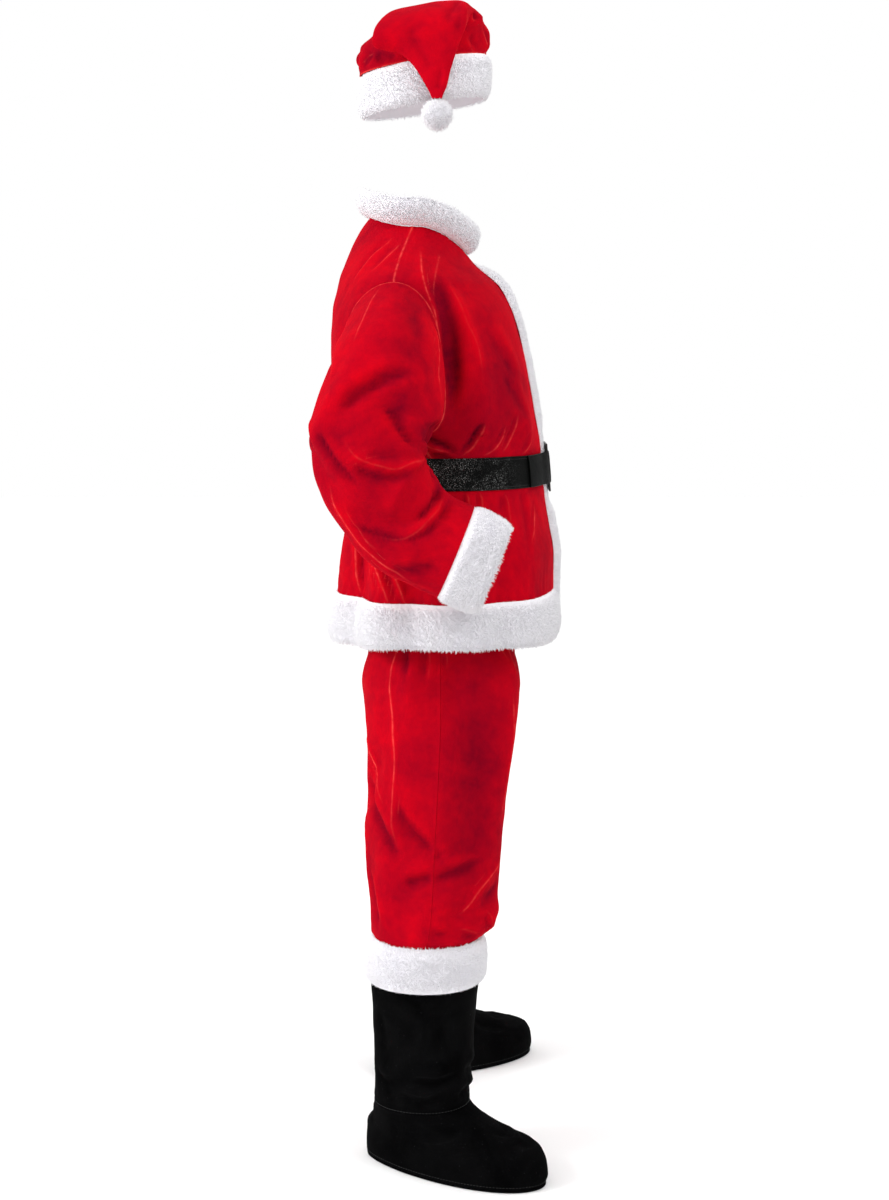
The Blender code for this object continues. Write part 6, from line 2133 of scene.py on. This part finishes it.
@dataclass(frozen=True)
class Leatherette(Finish):
    """Black leatherette with a pebbled grain and painted glints."""

    name: str = "belt_black"
    dark: Colour = (0.0015, 0.0017, 0.0016)
    worn: Colour = (0.0035, 0.0040, 0.0035)
    # A painted glint colour: light caught by the pebbles, painted on in patches.
    scuff_and_glint: Colour = (0.42, 0.43, 0.42)
    roughness: float = 0.42
    specular: float = 0.035
    grain: float = 620.0

    def dress(self, nodes: MaterialTree) -> None:
        """Pebbles with fine wrinkles between them, duller patches and painted glints on the strap's
        sides.
        """
        cells = nodes.add("ShaderNodeTexVoronoi", {"Vector": nodes.place, "Scale": self.grain},
                          feature="DISTANCE_TO_EDGE")
        pebble = nodes.spread(cells.outputs["Distance"], 0.0, 0.32, 0.0, 1.0)
        mottle = nodes.mottle(22.0, 240.0, 1500.0)
        dull = nodes.spread(mottle["Patch"], 0.35, 0.65, 0.0, 1.0)
        worn = nodes.maths("MULTIPLY", dull, nodes.spread(pebble, 0.0, 1.0, 0.2, 0.7))
        # Painted glints: light specks in patches where the strap runs round the body's sides.
        across = nodes.add("ShaderNodeSeparateXYZ", {0: nodes.place}).outputs["X"]
        sides = nodes.spread(nodes.maths("ABSOLUTE", across), 0.150, 0.215, 0.0, 1.0)
        patch = nodes.maths("MULTIPLY", sides, nodes.spread(mottle["Patch"], 0.40, 0.60, 0.1, 1.0))
        fine = nodes.spread(nodes.noise(nodes.place, 900.0, 0.0), 0.62, 0.78, 0.0, 1.0)
        colour = nodes.blend(worn, self.dark, self.worn)
        colour = nodes.blend(nodes.maths("MULTIPLY", patch, fine), colour, self.scuff_and_glint)
        nodes.shade("Base Color", colour)
        nodes.shade("Roughness", nodes.spread(mottle["Patch"], 0.3, 0.7, 0.36, 0.52))
        nodes.bump(nodes.maths("MULTIPLY_ADD", mottle["Fleck"], 0.35, pebble), 0.55, 0.0004)


@dataclass(frozen=True)
class SatinPlastic(Finish):
    """The buckle's black plastic, a little scuffed."""

    name: str = "buckle_black"
    dark: Colour = (0.008, 0.008, 0.008)
    scuff_and_glint: Colour = (0.028, 0.028, 0.028)
    roughness: float = 0.34
    specular: float = 0.5

    def dress(self, nodes: MaterialTree) -> None:
        """Fine scuffs in colour and roughness."""
        mottle = nodes.mottle(60.0, 420.0, 1600.0)
        scuff_and_glint = nodes.spread(mottle["Fleck"], 0.5, 0.75, 0.0, 1.0)
        nodes.shade("Base Color", nodes.blend(scuff_and_glint, self.dark, self.scuff_and_glint))
        nodes.shade("Roughness", nodes.spread(mottle["Patch"], 0.3, 0.7, 0.28, 0.44))
        nodes.bump(mottle["Height"], 0.15, 0.0002)


@dataclass(frozen=True)
class BootCloth(Finish):
    """Matte black velvet of the boot covers, with a little lint."""

    name: str = "boot_black"
    # deep and bright are a shaded and a lit tone of the same black, mixed by random patches and the
    # painted fold shade.
    deep: Colour = (0.0005, 0.0005, 0.0006)
    bright: Colour = (0.0034, 0.0034, 0.0036)
    # The painted highlight colour of the lines along crease ridges.
    crest_highlight: Colour = (0.014, 0.014, 0.015)
    lint: Colour = (0.022, 0.022, 0.024)
    roughness: float = 0.90
    sheen: float = 0.0022
    specular: float = 0.016

    def dress(self, nodes: MaterialTree) -> None:
        """Painted fold shade, lint, painted highlight lines and the fine pile."""
        mottle = nodes.mottle(12.0, 160.0, 1100.0)
        # Painted shade and highlight from the stored relief.
        fold_shade_and_tone = nodes.spread(nodes.attribute("fold_shade_and_tone"), -1.0, 1.0, -0.2, 0.5)
        share = nodes.maths("ADD", nodes.spread(mottle["Patch"], 0.35, 0.65, 0.0, 0.7), fold_shade_and_tone)
        colour = nodes.blend(nodes.spread(share, 0.0, 1.0, 0.0, 1.0), self.deep, self.bright)
        speck = nodes.spread(nodes.noise(nodes.place, 420.0, 1.0), 0.74, 0.80, 0.0, 0.8)
        colour = nodes.blend(speck, colour, self.lint)
        # Painted highlight lines along crease ridges.
        line = nodes.highlight_mask("line", nodes.attribute("highlight_strength"))
        colour = nodes.blend(nodes.maths("MULTIPLY", line, 0.6), colour, self.crest_highlight)
        nodes.shade("Base Color", colour)
        nodes.pile_bump(mottle, 0.4)


@dataclass(frozen=True)
class Thread(Finish):
    """Black sewing thread."""

    name: str = "thread_black"
    dark: Colour = (0.004, 0.004, 0.004)
    light: Colour = (0.014, 0.014, 0.014)
    roughness: float = 0.6

    def dress(self, nodes: MaterialTree) -> None:
        """A little change from stitch to stitch."""
        fleck = nodes.mottle(80.0, 500.0, 3000.0)["Fleck"]
        nodes.shade("Base Color", nodes.blend(fleck, self.dark, self.light))


@dataclass(frozen=True)
class StudioFloor(Finish):
    """The pale floor."""

    name: str = "studio_floor"
    pale: Colour = (0.965, 0.965, 0.965)
    paler: Colour = (0.98, 0.98, 0.98)
    roughness: float = 0.9

    def dress(self, nodes: MaterialTree) -> None:
        """Hardly any change of tone."""
        cloud = nodes.noise(nodes.place, 0.8, 1.0)
        nodes.shade("Base Color", nodes.blend(cloud, self.pale, self.paler))


FINISHES = (Velvet(), Plush(), Leatherette(), SatinPlastic(), BootCloth(), Thread(), StudioFloor())


# ---- studio
class SoftLight(NamedTuple):
    """A square area light: where it is, what it looks at, its size, its power in watts."""

    name: str
    place: tuple[float, float, float]
    aim: tuple[float, float, float]
    size: float
    power: float


@dataclass
class Studio:
    """A pale floor, soft lights and the camera at the wearer's right."""

    camera_place: tuple[float, float, float] = (-3.3, -0.0323, -0.19)
    pitch: float = math.degrees(math.atan2(255.0, 1993.0))
    lens: float = 59.79
    world: float = 0.16
    backdrop: float = 1.0
    lights: tuple[SoftLight, ...] = (
        SoftLight("key", (-1.4, 3.4, 1.1), (0.0, 0.0, -0.6), 1.2, 84.0),
        SoftLight("ceiling", (0.0, 0.0, 7.0), (0.0, 0.0, 0.0), 60.0, 11400.0),
        SoftLight("fill", (-1.7, -1.7, 2.2), (0.0, 0.0, 0.05), 1.4, 27.0),
    )

    def floor(self) -> None:
        """The floor, just under the soles."""
        mesh = bpy.data.meshes.new("floor")
        level, half = -NECK_HEIGHT - 0.0004, 14.0
        places = [(-half, -half, level), (half, -half, level), (half, half, level),
                  (-half, half, level)]
        mesh.from_pydata(places, [], [(0, 1, 2, 3)])
        mesh.materials.append(named_material("studio_floor"))
        linked("floor", mesh)

    def light(self, soft: SoftLight) -> None:
        """One soft light."""
        lamp = bpy.data.lights.new(soft.name, "AREA")
        lamp.shape = "SQUARE"
        lamp.size = soft.size
        lamp.energy = soft.power
        holder = linked(soft.name, lamp)
        holder.location = soft.place
        way = Vector(soft.aim) - Vector(soft.place)
        holder.rotation_euler = way.to_track_quat("-Z", "Y").to_euler()
        holder.visible_camera = False

    def surroundings(self) -> None:
        """An even pale light from all round."""
        world = bpy.data.worlds.new("studio")
        world.use_nodes = True
        nodes = NodeTree(world.node_tree)
        around, seen = (
            nodes.add("ShaderNodeBackground", {"Color": WHITE, "Strength": power}).outputs[0]
            for power in (self.world, self.backdrop))
        camera = nodes.add("ShaderNodeLightPath").outputs["Is Camera Ray"]
        mix = nodes.add("ShaderNodeMixShader", {0: camera, 1: around, 2: seen})
        nodes.fill(nodes.tree.nodes["World Output"].inputs["Surface"], mix.outputs[0])
        bpy.context.scene.world = world

    def camera(self) -> None:
        """The camera, level with the wearer's chest and looking a little down."""
        lens = bpy.data.cameras.new("camera")
        lens.sensor_width = 36.0
        lens.lens = self.lens
        lens.clip_end = 60.0
        holder = linked("camera", lens)
        holder.location = self.camera_place
        holder.rotation_euler = (math.radians(90.0 - self.pitch), 0.0, math.radians(-90.0))
        bpy.context.scene.camera = holder

    def build(self) -> None:
        """Floor, lights, surroundings and camera."""
        self.floor()
        for soft in self.lights:
            self.light(soft)
        self.surroundings()
        self.camera()
        bpy.context.scene.view_settings.view_transform = "Standard"


def main() -> None:
    """Builds every piece on the frame and the studio round them."""
    logging.basicConfig(level=logging.INFO, format="%(name)s %(message)s")
    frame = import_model()
    for finish in FINISHES:
        finish.make()
    jacket = Jacket()
    Hat().build()
    jacket.build()
    Belt(jacket).build(frame)
    for side in Side:
        Sleeve(jacket, side).build()
    Trousers().build()
    for side in Side:
        BootCover(side).build()
    Studio().build()


if __name__ == "__main__":
    main()
